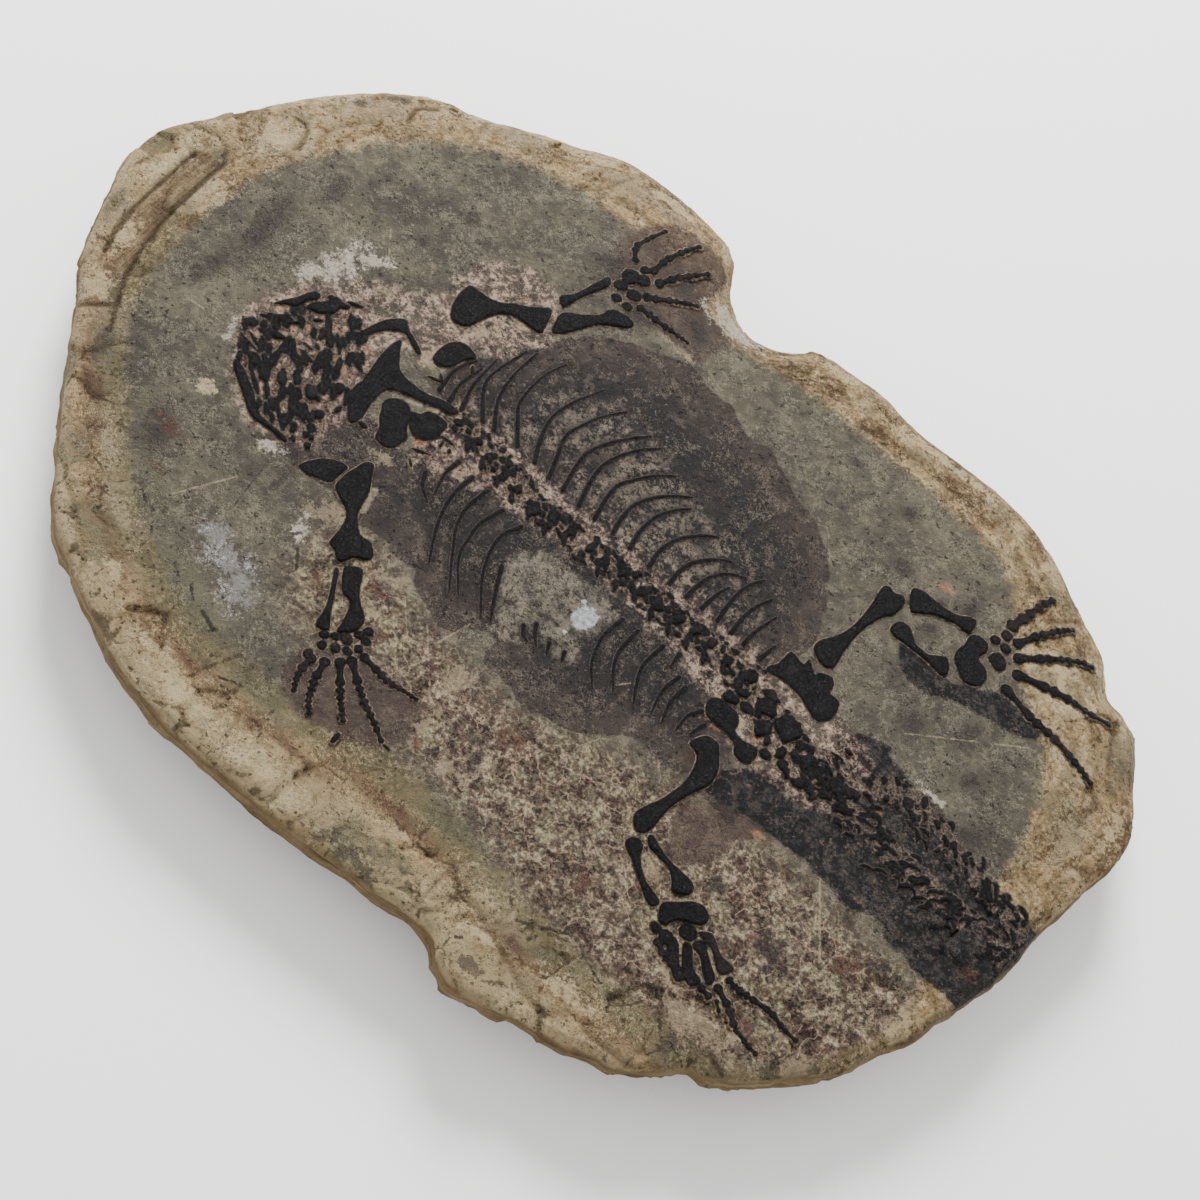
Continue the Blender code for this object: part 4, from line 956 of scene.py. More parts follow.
def make_patch(name, shapes, cell, roughness):
    """A mesh of domed bones whose skirts run down into the rock and whose sole is flat."""
    low = np.min([shape.low for shape in shapes], axis=0) - SKIRT
    high = np.max([shape.high for shape in shapes], axis=0) + SKIRT
    counts = np.ceil((high - low) / cell).astype(int)
    bm = bmesh.new()
    bmesh.ops.create_grid(bm, x_segments=int(counts[0]), y_segments=int(counts[1]), size=0.5)
    middle = (low + high) / 2.0
    spread = counts * cell
    for vert in bm.verts:
        vert.co = (middle[0] + vert.co.x * spread[0], middle[1] + vert.co.y * spread[1], 0.0)
    places = np.array([vert.co[:2] for vert in bm.verts])
    height, depth, tone, seam = bone_surface(shapes, places)
    tree = slab_tree()
    keep = depth > -SKIRT
    keep[keep] = loop_distance(places[keep], rim_loop()) > EDGE_MARGIN
    levels = np.zeros(len(places))
    levels[keep] = rock_levels(places[keep], tree)
    layers = {key: bm.verts.layers.float.new(key) for key in ("depth", "tone", "seam")}
    doomed = []
    for i, vert in enumerate(list(bm.verts)):
        if not keep[i]:
            doomed.append(vert)
            continue
        x, y = places[i]
        if depth[i] > 0.0:
            near, far = noise.voronoi(Vector((x, y, 0.0)) * CRACK_SCALE)[0][:2]
            uneven = noise.noise(Vector((x, y, 9.0)) * WEAR_SCALE)
            uneven += 0.6 * noise.noise(Vector((x, y, 4.0)) * FINE_WEAR_SCALE)
            crack = max(0.0, 1.0 - (far - near) / CRACK_WIDTH)
            height[i] = max(height[i] + roughness * (uneven - 0.7 * crack), 0.6 * LIP)
        vert.co.z = levels[i] + height[i]
        vert[layers["depth"]] = depth[i]
        vert[layers["tone"]] = tone[i]
        vert[layers["seam"]] = seam[i]
    bmesh.ops.delete(bm, geom=doomed, context="VERTS")
    loose = [vert for vert in bm.verts if not vert.link_faces]
    bmesh.ops.delete(bm, geom=loose, context="VERTS")
    give_sole(bm)
    bmesh.ops.scale(bm, verts=bm.verts, vec=(MM, MM, MM))
    for face in bm.faces:
        face.smooth = True
    return place_piece(name, bm)


def give_sole(bm):
    """Closes the open sheet with a flat sole a little under its lowest edge."""
    faces = list(bm.faces)
    made = bmesh.ops.extrude_face_region(bm, geom=faces, use_keep_orig=True)["geom"]
    sole = [item for item in made if isinstance(item, bmesh.types.BMVert)]
    for vert in sole:
        vert.co.z = min(vert.co.z, FACE_LEVEL) - SOLE_DEPTH
    bmesh.ops.recalc_face_normals(bm, faces=bm.faces)


def place_piece(name, bm):
    mesh = bpy.data.meshes.new(name)
    bm.to_mesh(mesh)
    bm.free()
    piece = bpy.data.objects.new(name, mesh)
    bpy.context.scene.collection.objects.link(piece)
    return piece


def settle(piece, material, slot, *nodes):
    """Gives a finished piece its material and ties it to the frame."""
    piece.data.materials.append(material)
    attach(piece, BODY)
    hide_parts(*nodes)


def add_bones(name, shapes, node, roughness=BONE_ROUGHNESS):
    """Makes the piece of some bones, in place of their CAD plate."""
    piece = make_patch(name, shapes, bpy.context.scene.fossil_bones.cell / MM, roughness)
    settle(piece, bone_material(), BONE_SLOT, node)


def bone_material():
    known = bpy.data.materials.get("fossil_bone_finish")
    if known:
        return known
    look = bpy.context.scene.fossil_bones
    shader = Shader("fossil_bone_finish")
    depth = shader.attribute("depth")
    tone = shader.attribute("tone")
    seam = shader.attribute("seam")
    coarse = shader.noise(0.32, 4.0, 0.62)
    fine = shader.noise(1.7, 5.0, 0.74)
    crackle = shader.warped_cells(0.9, 1.2)
    cracks = 1.0 - shader.step(crackle, 0.0, 0.07)
    wear_and_shade = shader.step(coarse * 0.7 + tone * 0.2 + fine * 0.3, 0.64, 0.8)
    wear_and_shade = wear_and_shade * shader.step(depth, 0.1, 0.8)
    colour = shader.mix(wear_and_shade * 0.85, look.colour, look.worn_colour)
    colour = shader.mix(shader.step(tone, 0.7, 0.9) * 0.35, colour, srgb(46, 34, 31))
    mottle = shader.step(coarse * 0.5 + fine * 0.5, 0.47, 0.6)
    colour = shader.mix(mottle * 0.6, colour, srgb(34, 32, 33))
    # Painted highlights: small pale flecks inside the bone stand in for glints of light
    painted_glints = shader.step(fine, 0.61, 0.68) * shader.step(depth, 0.2, 0.7)
    colour = shader.mix(painted_glints * 0.75, colour, srgb(104, 96, 90))
    colour = shader.mix(cracks * 0.8, colour, srgb(4, 4, 4))
    ragged = depth + (fine - 0.5) * 0.35 + (coarse - 0.5) * 0.3
    edge = 1.0 - shader.step(ragged, -0.08, 0.04)
    rock = shader.mix(shader.step(fine, 0.4, 0.6), srgb(92, 74, 60), look.seam_colour)
    # Painted shade: dark rock at the foot of the bones, all round the ribs and wherever the seam
    # value is low, in patches elsewhere; the pale seam rock is the rock's own colour
    skirt_shade_paint = shader.mix(shader.step(fine, 0.42, 0.58), srgb(34, 31, 31), srgb(96, 84, 76))
    rock = shader.mix(seam * shader.step(coarse, 0.4, 0.54), skirt_shade_paint, rock)
    colour = shader.mix(edge, colour, rock)
    shader.surface.inputs["Specular IOR Level"].default_value = 0.13
    relief = fine * 1.1 + coarse * 0.8 + shader.step(crackle, 0.0, 0.16) * 0.35
    return shader.finish(colour, 0.36 + wear_and_shade * 0.14 + edge * 0.3, relief, 0.5 * MM)


def rock_colours(shader, look):
    """The split face's colours, zone over zone, and the height that its flakes give."""
    broad = shader.noise(0.22, 3.0)
    ragged_edge = shader.noise(1.1, 3.0)
    wobble = (broad - 0.5) * 5.0 + (ragged_edge - 0.5) * 4.0
    cloud = shader.noise(0.045, 4.0, 0.62)
    blotch = shader.noise(0.26, 5.0, 0.68)
    grain = shader.noise(0.95, 6.0, 0.76)
    grit = shader.noise(2.6, 4.0, 0.72)
    speckle = grain * 0.6 + blotch * 0.4
    sandy = shader.step(shader.noise(0.13, 3.0, 0.6), 0.42, 0.6)
    pepper = 0.5 + ((grit + grain) * 0.85 - 0.85) * (0.35 + sandy * 0.55)
    marble = blotch * 0.9 + grain * 0.8 - 0.35
    fleck = shader.noise(0.62, 2.0, 0.55)
    net = shader.warped_cells(0.16, 5.0)
    thread = (1.0 - shader.step(net, 0.0, 0.045)) * shader.step(blotch, 0.42, 0.56)

    def zone(name, soft=0.8, reach=1.0):
        return shader.step(shader.attribute(name) + wobble * reach, -soft, soft)

    def peppered(paint, pale, dark, share=1.0):
        """A rock colour with pale and dark grains in it."""
        made = shader.mix(shader.step(pepper, 0.525, 0.6) * share, paint, pale)
        return shader.mix(shader.step(pepper, 0.47, 0.4) * share, made, dark)

    # Grey-olive split face
    face = shader.ramp(cloud * 0.7 + blotch * 0.7 - 0.2, [
        (0.38, srgb(84, 77, 68)), (0.47, srgb(98, 92, 79)), (0.54, look.face_colour),
        (0.66, srgb(128, 121, 101))])
    plum = shader.step(shader.noise(0.075, 8.0, 0.66), 0.53, 0.56)
    face = shader.mix(plum * 0.3, face, srgb(82, 73, 67))
    bright = shader.step(shader.noise(0.11, 8.0, 0.66, shader.stretched(0.6, 1.0, 0.4)), 0.55, 0.58)
    face = shader.mix(bright * 0.25, face, srgb(142, 134, 112))
    face = peppered(face, srgb(160, 152, 134), srgb(60, 54, 49), 0.7)
    face = shader.mix(shader.step(fleck, 0.66, 0.7) * 0.8, face, srgb(46, 38, 36))
    face = shader.mix(shader.step(fleck, 0.33, 0.29) * 0.4, face, srgb(168, 158, 136))
    face = shader.mix(thread * 0.3, face, srgb(160, 148, 124))

    # Brown, crumbly field on the near side
    crumbs = shader.noise(0.75, 6.0, 0.7) * 1.3 + shader.noise(0.18, 5.0, 0.66) * 1.1 - 0.7
    field = shader.ramp(crumbs, [
        (0.34, srgb(46, 37, 34)), (0.43, srgb(84, 68, 59)), (0.52, srgb(120, 104, 86)),
        (0.6, srgb(156, 138, 112)), (0.7, srgb(208, 190, 160))])
    shade = shader.noise(0.09, 6.0, 0.66)
    field = shader.mix(shader.step(shade, 0.52, 0.57) * 0.7, field, (0.82, 0.92, 0.78), "MULTIPLY")
    field = shader.mix(shader.step(shade, 0.48, 0.43) * 0.8, field, (0.78, 0.66, 0.64), "MULTIPLY")
    hue = shader.noise(0.7, 4.0, 0.6)
    field = shader.mix(shader.step(hue, 0.54, 0.6) * 0.6, field, srgb(114, 109, 90))
    field = shader.mix(shader.step(hue, 0.46, 0.4) * 0.6, field, srgb(98, 75, 64))
    field = shader.mix(thread * 0.7, field, srgb(204, 180, 150))
    colour = shader.mix(zone("brown", 8.0, 2.6), face, field)

    # Weathered rim, in blocks, with bands along the near edge
    outside = shader.attribute("face") * -1.0
    block = shader.attribute("block")
    bands = shader.node("ShaderNodeCombineXYZ", None, {
        0: shader.attribute("rim") * 0.34 + (broad - 0.5) * 2.0,
        1: shader.attribute("round") * 0.05,
        2: shader.attribute("level") * 0.34})
    streak = shader.noise(1.0, 5.0, 0.72, bands)
    rim = shader.ramp(streak * 0.5 + blotch * 0.45 + grain * 0.45 + block * 0.2 - 0.3, [
        (0.34, srgb(88, 68, 44)), (0.43, srgb(140, 116, 82)), (0.5, look.rim_colour),
        (0.6, srgb(212, 190, 148))])
    rim = peppered(rim, srgb(220, 204, 170), srgb(100, 82, 60), 0.55)
    grey = shader.step(shader.noise(0.075, 4.0, 0.62) + (block - 0.5) * 0.12, 0.52, 0.6)
    grey_rim = peppered(srgb(108, 102, 78), srgb(146, 138, 108), srgb(56, 50, 38))
    rim = shader.mix(grey * 0.5, rim, grey_rim)
    band = shader.ramp(outside * 0.0333 + (blotch - 0.5) * 0.5 + (grain - 0.5) * 0.5, [
        (0.0, srgb(98, 95, 72)), (0.22, srgb(112, 107, 80)), (0.3, srgb(122, 98, 74)),
        (0.4, srgb(168, 140, 104)), (0.52, srgb(198, 176, 134)), (0.82, srgb(206, 186, 144)),
        (1.0, srgb(146, 126, 84))])
    band = peppered(band, srgb(228, 212, 172), srgb(80, 62, 42), 0.55)
    rim = shader.mix(shader.attribute("green") * 0.7, rim, band)
    rim = shader.mix(thread * 0.4, rim, srgb(84, 66, 46))
    rim = shader.mix(shader.step(fleck, 0.64, 0.68) * 0.7, rim, srgb(70, 54, 40))
    fissure = 1.0 - shader.step(shader.attribute("fissure"), 0.02, 0.07)
    fissure = fissure * shader.step(broad, 0.46, 0.54)
    rim = shader.mix(fissure * (0.3 + shader.attribute("green") * 0.4), rim, srgb(58, 44, 30))
    border = outside + wobble * 1.3 + (grain - 0.5) * 7.0
    colour = shader.mix(shader.step(border, -2.2, 2.2), colour, rim)
    stripes = shader.noise(1.0, 4.0, 0.7, shader.stretched(0.9, 0.05, 0.4))
    strip = shader.ramp(stripes * 0.7 + grain * 0.3, [
        (0.4, srgb(66, 52, 36)), (0.5, srgb(112, 92, 68)), (0.62, srgb(164, 142, 108))])
    on_strip = shader.step(shader.attribute("strip") + wobble * 0.5, -0.3, 1.2)
    colour = shader.mix(on_strip * 0.7, colour, strip)

    # The body's stain, with the rib cage, the tail and the belly in it
    body = zone("body", 0.3, 0.4)
    margin = 1.0 - shader.step(shader.attribute("body") + wobble * 1.5, 4.0, 16.0)
    stain = shader.mix(margin, look.stain_colour, srgb(80, 69, 63))
    stain = shader.mix(shader.step(blotch, 0.52, 0.62) * 0.6, stain, srgb(108, 96, 86))
    stain = shader.mix(shader.step(blotch, 0.46, 0.38) * 0.5, stain, srgb(40, 38, 39))
    stain = shader.mix(plum * 0.3, stain, srgb(66, 57, 56))
    stain = peppered(stain, srgb(134, 122, 106), srgb(28, 26, 26), 0.9)
    cage_rock = shader.ramp(marble, [
        (0.4, srgb(40, 39, 40)), (0.47, srgb(82, 75, 68)), (0.55, srgb(138, 125, 108))])
    cage_rock = peppered(cage_rock, srgb(176, 162, 142), srgb(26, 25, 25), 0.9)
    stain = shader.mix(zone("cage", 3.0, 1.8) * 0.75, stain, cage_rock)
    colour = shader.mix(body, colour, stain)
    tail = shader.ramp(marble, [
        (0.4, srgb(24, 24, 25)), (0.5, srgb(44, 43, 44)), (0.6, srgb(80, 73, 68))])
    strands = zone("strands", 1.5, 1.0) * shader.step(marble, 0.44, 0.56)
    tail = shader.mix(strands * 0.85, tail, srgb(112, 98, 86))
    tail = peppered(tail, srgb(112, 102, 92), srgb(18, 17, 18), 0.75)
    tail = shader.mix(shader.step(fleck, 0.34, 0.3) * 0.6, tail, srgb(150, 116, 96))
    colour = shader.mix(zone("tail", 0.5, 0.5), colour, tail)
    belly_rock = shader.ramp(marble, [
        (0.36, srgb(70, 64, 57)), (0.46, srgb(112, 104, 92)), (0.6, srgb(144, 135, 118))])
    belly_rock = peppered(belly_rock, srgb(172, 160, 136), srgb(42, 37, 31), 0.8)
    colour = shader.mix(zone("belly", 1.0, 0.9), colour, belly_rock)

    # Pale and pink rock round the spine and the skull
    matrix = shader.ramp(marble, [
        (0.4, srgb(58, 47, 44)), (0.47, srgb(108, 90, 80)), (0.54, look.matrix_colour),
        (0.61, srgb(214, 188, 166))])
    matrix = peppered(matrix, srgb(222, 202, 180), srgb(60, 48, 44), 0.6)
    patchy = 0.5 + 0.5 * shader.step(blotch + grain * 0.5, 0.62, 0.76)
    for name, amount in (("spine", 0.85), ("skull", 0.8)):
        colour = shader.mix(zone(name, 2.0, 1.2) * amount * patchy, colour, matrix)
    jaws = shader.ramp(blotch * 0.4 + grain * 0.6, [
        (0.42, srgb(34, 26, 25)), (0.49, srgb(104, 78, 68)), (0.54, srgb(186, 150, 130)),
        (0.6, srgb(222, 188, 164))])
    pink = shader.step(shader.noise(0.2, 3.0, 0.6), 0.5, 0.56)
    pink_rock = peppered(srgb(206, 168, 146), srgb(232, 204, 182), srgb(120, 84, 70))
    jaws = shader.mix(pink * 0.75, jaws, pink_rock)
    colour = shader.mix(zone("jaws", 1.4, 0.8) * 0.9, colour, jaws)
    web_rock = peppered(srgb(80, 66, 60), srgb(124, 106, 92), srgb(42, 34, 31))
    web_rock = shader.mix(shader.step(blotch, 0.5, 0.6) * 0.5, web_rock, srgb(112, 98, 82))
    colour = shader.mix(zone("webs", 1.0, 0.8) * 0.85, colour, web_rock)

    # Painted shade: darker rock beside the ribs and along the column
    rib_shade = 1.0 - shader.step(shader.attribute("ribs") + wobble * 0.4, 0.5, 2.8)
    rib_shade_paint = peppered(srgb(42, 39, 39), srgb(92, 83, 75), srgb(18, 17, 17))
    colour = shader.mix(rib_shade * 0.6, colour, rib_shade_paint)
    # Painted shade along the spine line, seen in the gaps between the column's bone pieces
    column = 1.0 - shader.step(shader.attribute("column") + wobble * 0.4, 2.2, 4.4)
    column_shade_paint = shader.ramp(marble, [
        (0.4, srgb(24, 21, 21)), (0.5, srgb(72, 58, 54)), (0.58, srgb(168, 140, 124))])
    colour = shader.mix(column * 0.75, colour, column_shade_paint)

    # Patches of other colours, then veins and scratches
    ragged = (blotch - 0.5) * 3.4 + (grain - 0.5) * 3.0
    for name, (_, paints, share, amount) in SPOT_PAINTS.items():
        spot = shader.step(shader.attribute(name) + ragged, 0.05, 0.6)
        paint = peppered(*(srgb(*shade) for shade in paints), share)
        colour = shader.mix(spot * amount, colour, paint)
    calcite = shader.step(shader.attribute("calcite") + (grain - 0.5) * 0.7, 0.1, 0.3)
    colour = shader.mix(calcite, colour, shader.ramp(grain, [
        (0.36, srgb(146, 150, 152)), (0.52, srgb(206, 208, 208)), (0.64, srgb(246, 246, 242))]))

    shake = (grain - 0.5) * 1.6
    broken = shader.step(blotch, 0.38, 0.54)
    flat_place = shader.stretched(1.0, 1.0, 0.0)
    lines = ((PALE_VEINS, srgb(190, 172, 142), 0.6), (DARK_MARKS, srgb(38, 33, 31), 0.8))
    for marks, paint, amount in lines:
        for x1, y1, x2, y2, width in marks:
            distance = shader.line(flat_place, x1, y1, x2, y2) + shake
            close = 1.0 - shader.step(distance, width * 0.3, width * 0.75)
            colour = shader.mix(close * broken * amount, colour, paint)

    # Flecks and dark dots over everything, and how rough the flakes are
    colour = shader.mix(body * shader.step(fleck, 0.64, 0.69) * 0.75, colour, srgb(24, 22, 23))
    colour = shader.mix(body * shader.step(fleck, 0.33, 0.28) * 0.5, colour, srgb(150, 138, 122))
    dots = 1.0 - shader.step(shader.cells(0.16), 0.05, 0.09)
    colour = shader.mix(dots * 0.75, colour, srgb(38, 34, 32))
    rough = 1.0 + zone("tail", 1.0, 0.5) * 0.8 + body * 0.3 + zone("jaws", 2.0, 1.0) * 0.6
    pits = shader.step(fleck, 0.62, 0.7) * 0.5
    flakes = (grain + blotch * 0.7 + grit * 0.6 + shader.step(net, 0.0, 0.1) * 0.14 - pits) * rough
    return colour, flakes, speckle


def rock_material():
    look = bpy.context.scene.fossil_slab
    shader = Shader("mudstone_finish")
    colour, flakes, speckle = rock_colours(shader, look)
    layers = shader.noise(1.0, 5.0, 0.7, shader.stretched(0.04, 0.04, 0.7))
    lumps = shader.noise(0.12, 5.0, 0.6)
    crust = shader.ramp(layers * 0.5 + lumps * 0.25 + speckle * 0.25, [
        (0.38, srgb(86, 66, 42)), (0.48, look.crust_colour), (0.6, srgb(176, 152, 110))])
    manganese = shader.step(shader.noise(0.5, 4.0, 0.7), 0.6, 0.68)
    crust = shader.mix(manganese * 0.55, crust, srgb(52, 45, 38))
    top = shader.step(shader.attribute("top") + (lumps - 0.5) * 0.3, 0.35, 0.6)
    colour = shader.mix(top, crust, colour)
    # Painted shade: the rock is darker in the rim's grooves, more so the deeper the groove
    wear_and_shade = shader.attribute("groove") + (speckle - 0.5) * 0.5
    colour = shader.mix(shader.step(wear_and_shade, 0.1, 0.8) * 0.8, colour, srgb(56, 42, 28))
    shader.surface.inputs["Specular IOR Level"].default_value = 0.2
    return shader.finish(colour, 0.72 + speckle * 0.25, flakes + lumps * 0.6, 1.6 * MM)


def spot_field(places, spots):
    """How far inside the nearest patch each place is, from 1 at its centre to -1 outside."""
    best = np.full(len(places), -1.0)
    for x, y, half_x, half_y, turn in spots:
        angle = math.radians(turn)
        offset = places - (x, y)
        along = offset[:, 0] * math.cos(angle) + offset[:, 1] * math.sin(angle)
        across = offset[:, 1] * math.cos(angle) - offset[:, 0] * math.sin(angle)
        best = np.maximum(best, 1.0 - np.hypot(along / half_x, across / half_y))
    return best


def line_distance(places, lines):
    """Distance of every place from the nearest of some lines, in millimetres."""
    nearest = np.full(len(places), 30.0)
    for points in lines:
        line = flat_array(smooth_line(points, 3))
        low = line.min(0) - 8.0
        high = line.max(0) + 8.0
        near = np.flatnonzero(((places > low) & (places < high)).all(1))
        for start, end in zip(line, line[1:]):
            distance, _ = segment_distance(places[near], start, end)
            nearest[near] = np.minimum(nearest[near], distance)
    return nearest


def groove_field(places):
    """Depth of the rim's grooves in millimetres at every place."""
    depth = np.zeros(len(places))
    for points, half_width, deep in GROOVES:
        line = flat_array(smooth_line(points, 4))
        for start, end in zip(line, line[1:]):
            distance, _ = segment_distance(places, start, end)
            depth = np.maximum(depth, deep * np.exp(-(distance / half_width) ** 2))
    return depth


def rim_loop():
    """The slab's outline from above: the outermost point in each direction."""
    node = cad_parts["slab"].data
    points = np.array([vert.co[:2] for vert in node.vertices]) / MM
    angles = np.arctan2(points[:, 1], points[:, 0])
    loop = []
    for k in range(RIM_SECTORS):
        lower = -math.pi + math.tau * k / RIM_SECTORS
        sector = points[(angles >= lower) & (angles < lower + math.tau / RIM_SECTORS)]
        if len(sector):
            loop.append(sector[np.argmax(np.hypot(*sector.T))])
    return loop


def store(mesh, name, values):
    layer = mesh.attributes.new(name, "FLOAT", "POINT")
    layer.data.foreach_set("value", np.asarray(values, np.float32))


def paint_fields(mesh, places, up, groove, rim, levels):
    """Stores the distances that the rock's material reads."""
    zones = {
        "body": [BODY_STAIN], "belly": [BELLY], "strip": [RIM_STRIP], "cage": [RIB_CAGE],
        "spine": [SPINE_MATRIX], "skull": [SKULL_MATRIX], "jaws": [JAWS],
        "brown": [BROWN_FIELD], "face": [FACE_ZONE], "tail": [FOOT_STAIN, TAIL_STAIN],
        "webs": WEB_STAINS, "strands": [UPPER_STRAND, LOWER_STRAND, HIP_BAND],
    }
    for name, outlines in zones.items():
        depths = [loop_distance(places, smooth_loop(outline, 3)) for outline in outlines]
        store(mesh, name, np.max(depths, axis=0))
    for name, (patches, *_) in SPOT_PAINTS.items():
        store(mesh, name, spot_field(places, patches))
    blocks = np.array([rim_block(x, y) for x, y in places])
    fields = {
        "rim": rim,
        "level": levels,
        "block": 0.5 + 0.5 * blocks[:, 0],
        "fissure": blocks[:, 2],
        "calcite": spot_field(places, CALCITE),
        "ribs": line_distance(places, [*RIBS["far"], *RIBS["near"], *LOOSE_RIBS]),
        "column": line_distance(places, [SPINE_LINE]),
        "round": np.degrees(np.arctan2(places[:, 1], places[:, 0])),
        "green": np.clip((-places[:, 1] - places[:, 0] * 0.25) / 60.0, 0.0, 1.0),
        "top": up,
        "groove": np.clip(groove / 1.2, 0.0, 1.0),
    }
    for name, values in fields.items():
        store(mesh, name, values)


def remeshed_slab(voxel):
    """The CAD solid with even small faces, and faces half as large on the split face."""
    bm = bmesh.new()
    bm.from_mesh(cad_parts["slab"].data)
    bmesh.ops.remove_doubles(bm, verts=bm.verts, dist=WELD)
    solid = place_piece("slab_source", bm)
    remesh = solid.modifiers.new("Remesh", "REMESH")
    remesh.mode = "VOXEL"
    remesh.voxel_size = voxel
    bpy.context.view_layer.update()
    graph = bpy.context.evaluated_depsgraph_get()
    mesh = bpy.data.meshes.new_from_object(solid.evaluated_get(graph))
    bpy.data.objects.remove(solid, do_unlink=True)
    bm = bmesh.new()
    bm.from_mesh(mesh)
    bpy.data.meshes.remove(mesh)
    bm.normal_update()
    top = [face for face in bm.faces
           if face.normal.z > 0.5 and face.calc_center_median().z > FACE_EDGE_LEVEL * MM]
    edges = {edge for face in top for edge in face.edges}
    bmesh.ops.subdivide_edges(bm, edges=list(edges), cuts=1, use_grid_fill=True)
    return bm


def rim_relief(x, y, rim):
    """Broken ledges of the weathered rim, in millimetres."""
    warped = rim + 3.5 * noise.noise(Vector((x, y, 60.0)) * 0.05)
    ledge = (warped / LEDGE_WIDTH) % 1.0
    share = min(max((RIM_WIDTH - rim) / 8.0, 0.0), 1.0)
    chip = noise.voronoi(Vector((x, y, 0.0)) * CHIP_SCALE)[0][0]
    tone, tilt, fissure = rim_block(x, y)
    joint = max(0.0, 1.0 - fissure / JOINT_WIDTH)
    calm = FAR_RIM_CALM if y > FAR_RIM else 1.0
    blocks = calm * (BLOCK * (tone + tilt) - JOINT_DEPTH * joint)
    return share * (LEDGE * (ledge ** 3 - 0.3) - CHIP * chip + blocks)


def rim_block(x, y):
    """A broken block of rim rock: its tone, the height of its slope and how near its edge is."""
    shift = noise.noise_vector(Vector((x, y, 5.0)) * 0.06) * 0.35
    place = Vector((x, y, 0.0)) * BLOCK_SCALE + shift
    distances, corners = noise.voronoi(place)
    slope = noise.noise_vector(corners[0] * 5.1)
    tilt = 2.6 * slope.dot(place - corners[0])
    return 1.6 * noise.noise(corners[0] * 7.3), tilt, distances[1] - distances[0]


def make_slab(look):
    """The rock: the CAD solid remeshed finely, with an uneven face, grooves and lumps."""
    noise.seed_set(look.seed)
    bm = remeshed_slab(look.voxel)
    bm.normal_update()
    coordinates = flat_array(vert.co for vert in bm.verts) / MM
    normals = flat_array(vert.normal for vert in bm.verts)
    places = coordinates[:, :2]
    above_crust = np.clip((coordinates[:, 2] - CRUST_TOP) / CRUST_FADE, 0.0, 1.0)
    up = np.clip(normals[:, 2], 0.0, 1.0) * above_crust
    groove = groove_field(places) * up
    rim = loop_distance(places, rim_loop())
    for i, vert in enumerate(bm.verts):
        x, y, z = coordinates[i]
        lumpy = noise.noise(Vector((x, y, z)) * CRUST_SCALE) - 0.5
        broken = noise.voronoi(Vector((x, y, z * 2.0)) * CHIP_SCALE)[0][0]
        flat = up[i]
        level = z + flat * (swell(x, y) - groove[i] + rim_relief(x, y, rim[i]))
        place = Vector((x, y, level))
        if z > SOLE_HEIGHT:
            bed = Vector((x * STRATA_SPREAD, y * STRATA_SPREAD, z * STRATA_SCALE))
            jag = CRUST_LUMP * lumpy - 1.4 * CHIP * broken + 0.5 * (rim_block(x, y)[0] - 1.0)
            jag = jag + noise.noise(bed) + SIDE_SHIFT
            place += Vector(normals[i]) * (1.0 - flat) * jag
        place.z = max(place.z, 0.0)
        vert.co = place * MM
    for face in bm.faces:
        face.smooth = True
    piece = place_piece("rock_slab", bm)
    paint_fields(piece.data, places, up, groove, rim, coordinates[:, 2])
    return piece


class FOSSIL_OT_limbs(bpy.types.Operator):
    """Make the limb bones, each grown into the rock"""

    bl_idname = "fossil.limbs"
    bl_label = "Limb Bones"

    def execute(self, context):
        look = context.scene.fossil_bones
        rng = random.Random(look.seed)
        for bone in ("humerus", "radius", "ulna", "femur", "tibia", "fibula", "ankle"):
            for side in ("far", "near"):
                node = f"{bone}_{side}"
                outline = smooth_loop(cad_outline(node), 3)
                shape = Shape(outline, look.limb_height / MM, None, 0.6 * rng.random())
                add_bones(f"{node}_bone", [shape], node)
        return {"FINISHED"}


class FOSSIL_OT_girdles(bpy.types.Operator):
    """Make the flat bones of the jaws, shoulders and hips"""

    bl_idname = "fossil.girdles"
    bl_label = "Jaws and Girdles"

    def execute(self, context):
        look = context.scene.fossil_bones
        rng = random.Random(look.seed + 1)
        plates = ("lower_jaw_far", "lower_jaw_near", "clavicle_far", "interclavicle",
                  "coracoid_far", "coracoid_near", "scapula_far", "scapula_near",
                  "pelvis_far", "pelvis_near")
        for node in plates:
            high = look.limb_height if node.startswith("lower_jaw") else look.plate_height
            outline = smooth_loop(cad_outline(node), 3)
            shapes = [Shape(outline, high / MM, None, 0.6 * rng.random())]
            if node == "interclavicle":
                high = look.plate_height / MM
                shapes += [spindle(*bit, high, rng.random()) for bit in GIRDLE_BITS]
                shapes += [Shape(smooth_loop(plate, 2), 0.7 * high, None, rng.random(), 0.5)
                           for plate in GIRDLE_PLATES]
            add_bones(f"{node}_bone", shapes, node)
        return {"FINISHED"}


class FOSSIL_OT_skull(bpy.types.Operator):
    """Make the crushed skull from its splinters"""

    bl_idname = "fossil.skull"
    bl_label = "Skull"

    def execute(self, context):
        look = context.scene.fossil_bones
        rng = random.Random(look.seed + 2)
        shapes = [Crush(JAWS, 2.0, 2.3, -52.0, 0.4, 0.8 * look.skull_height / MM, rng, 0.4)]
        for x1, y1, x2, y2, half_width in SPLINTERS:
            high = look.skull_height / MM * rng.uniform(0.6, 1.0)
            shapes.append(spindle(x1, y1, x2, y2, half_width, high, rng.random(), 0.6))
        add_bones("skull_bones", shapes, "skull", SKULL_ROUGHNESS)
        return {"FINISHED"}


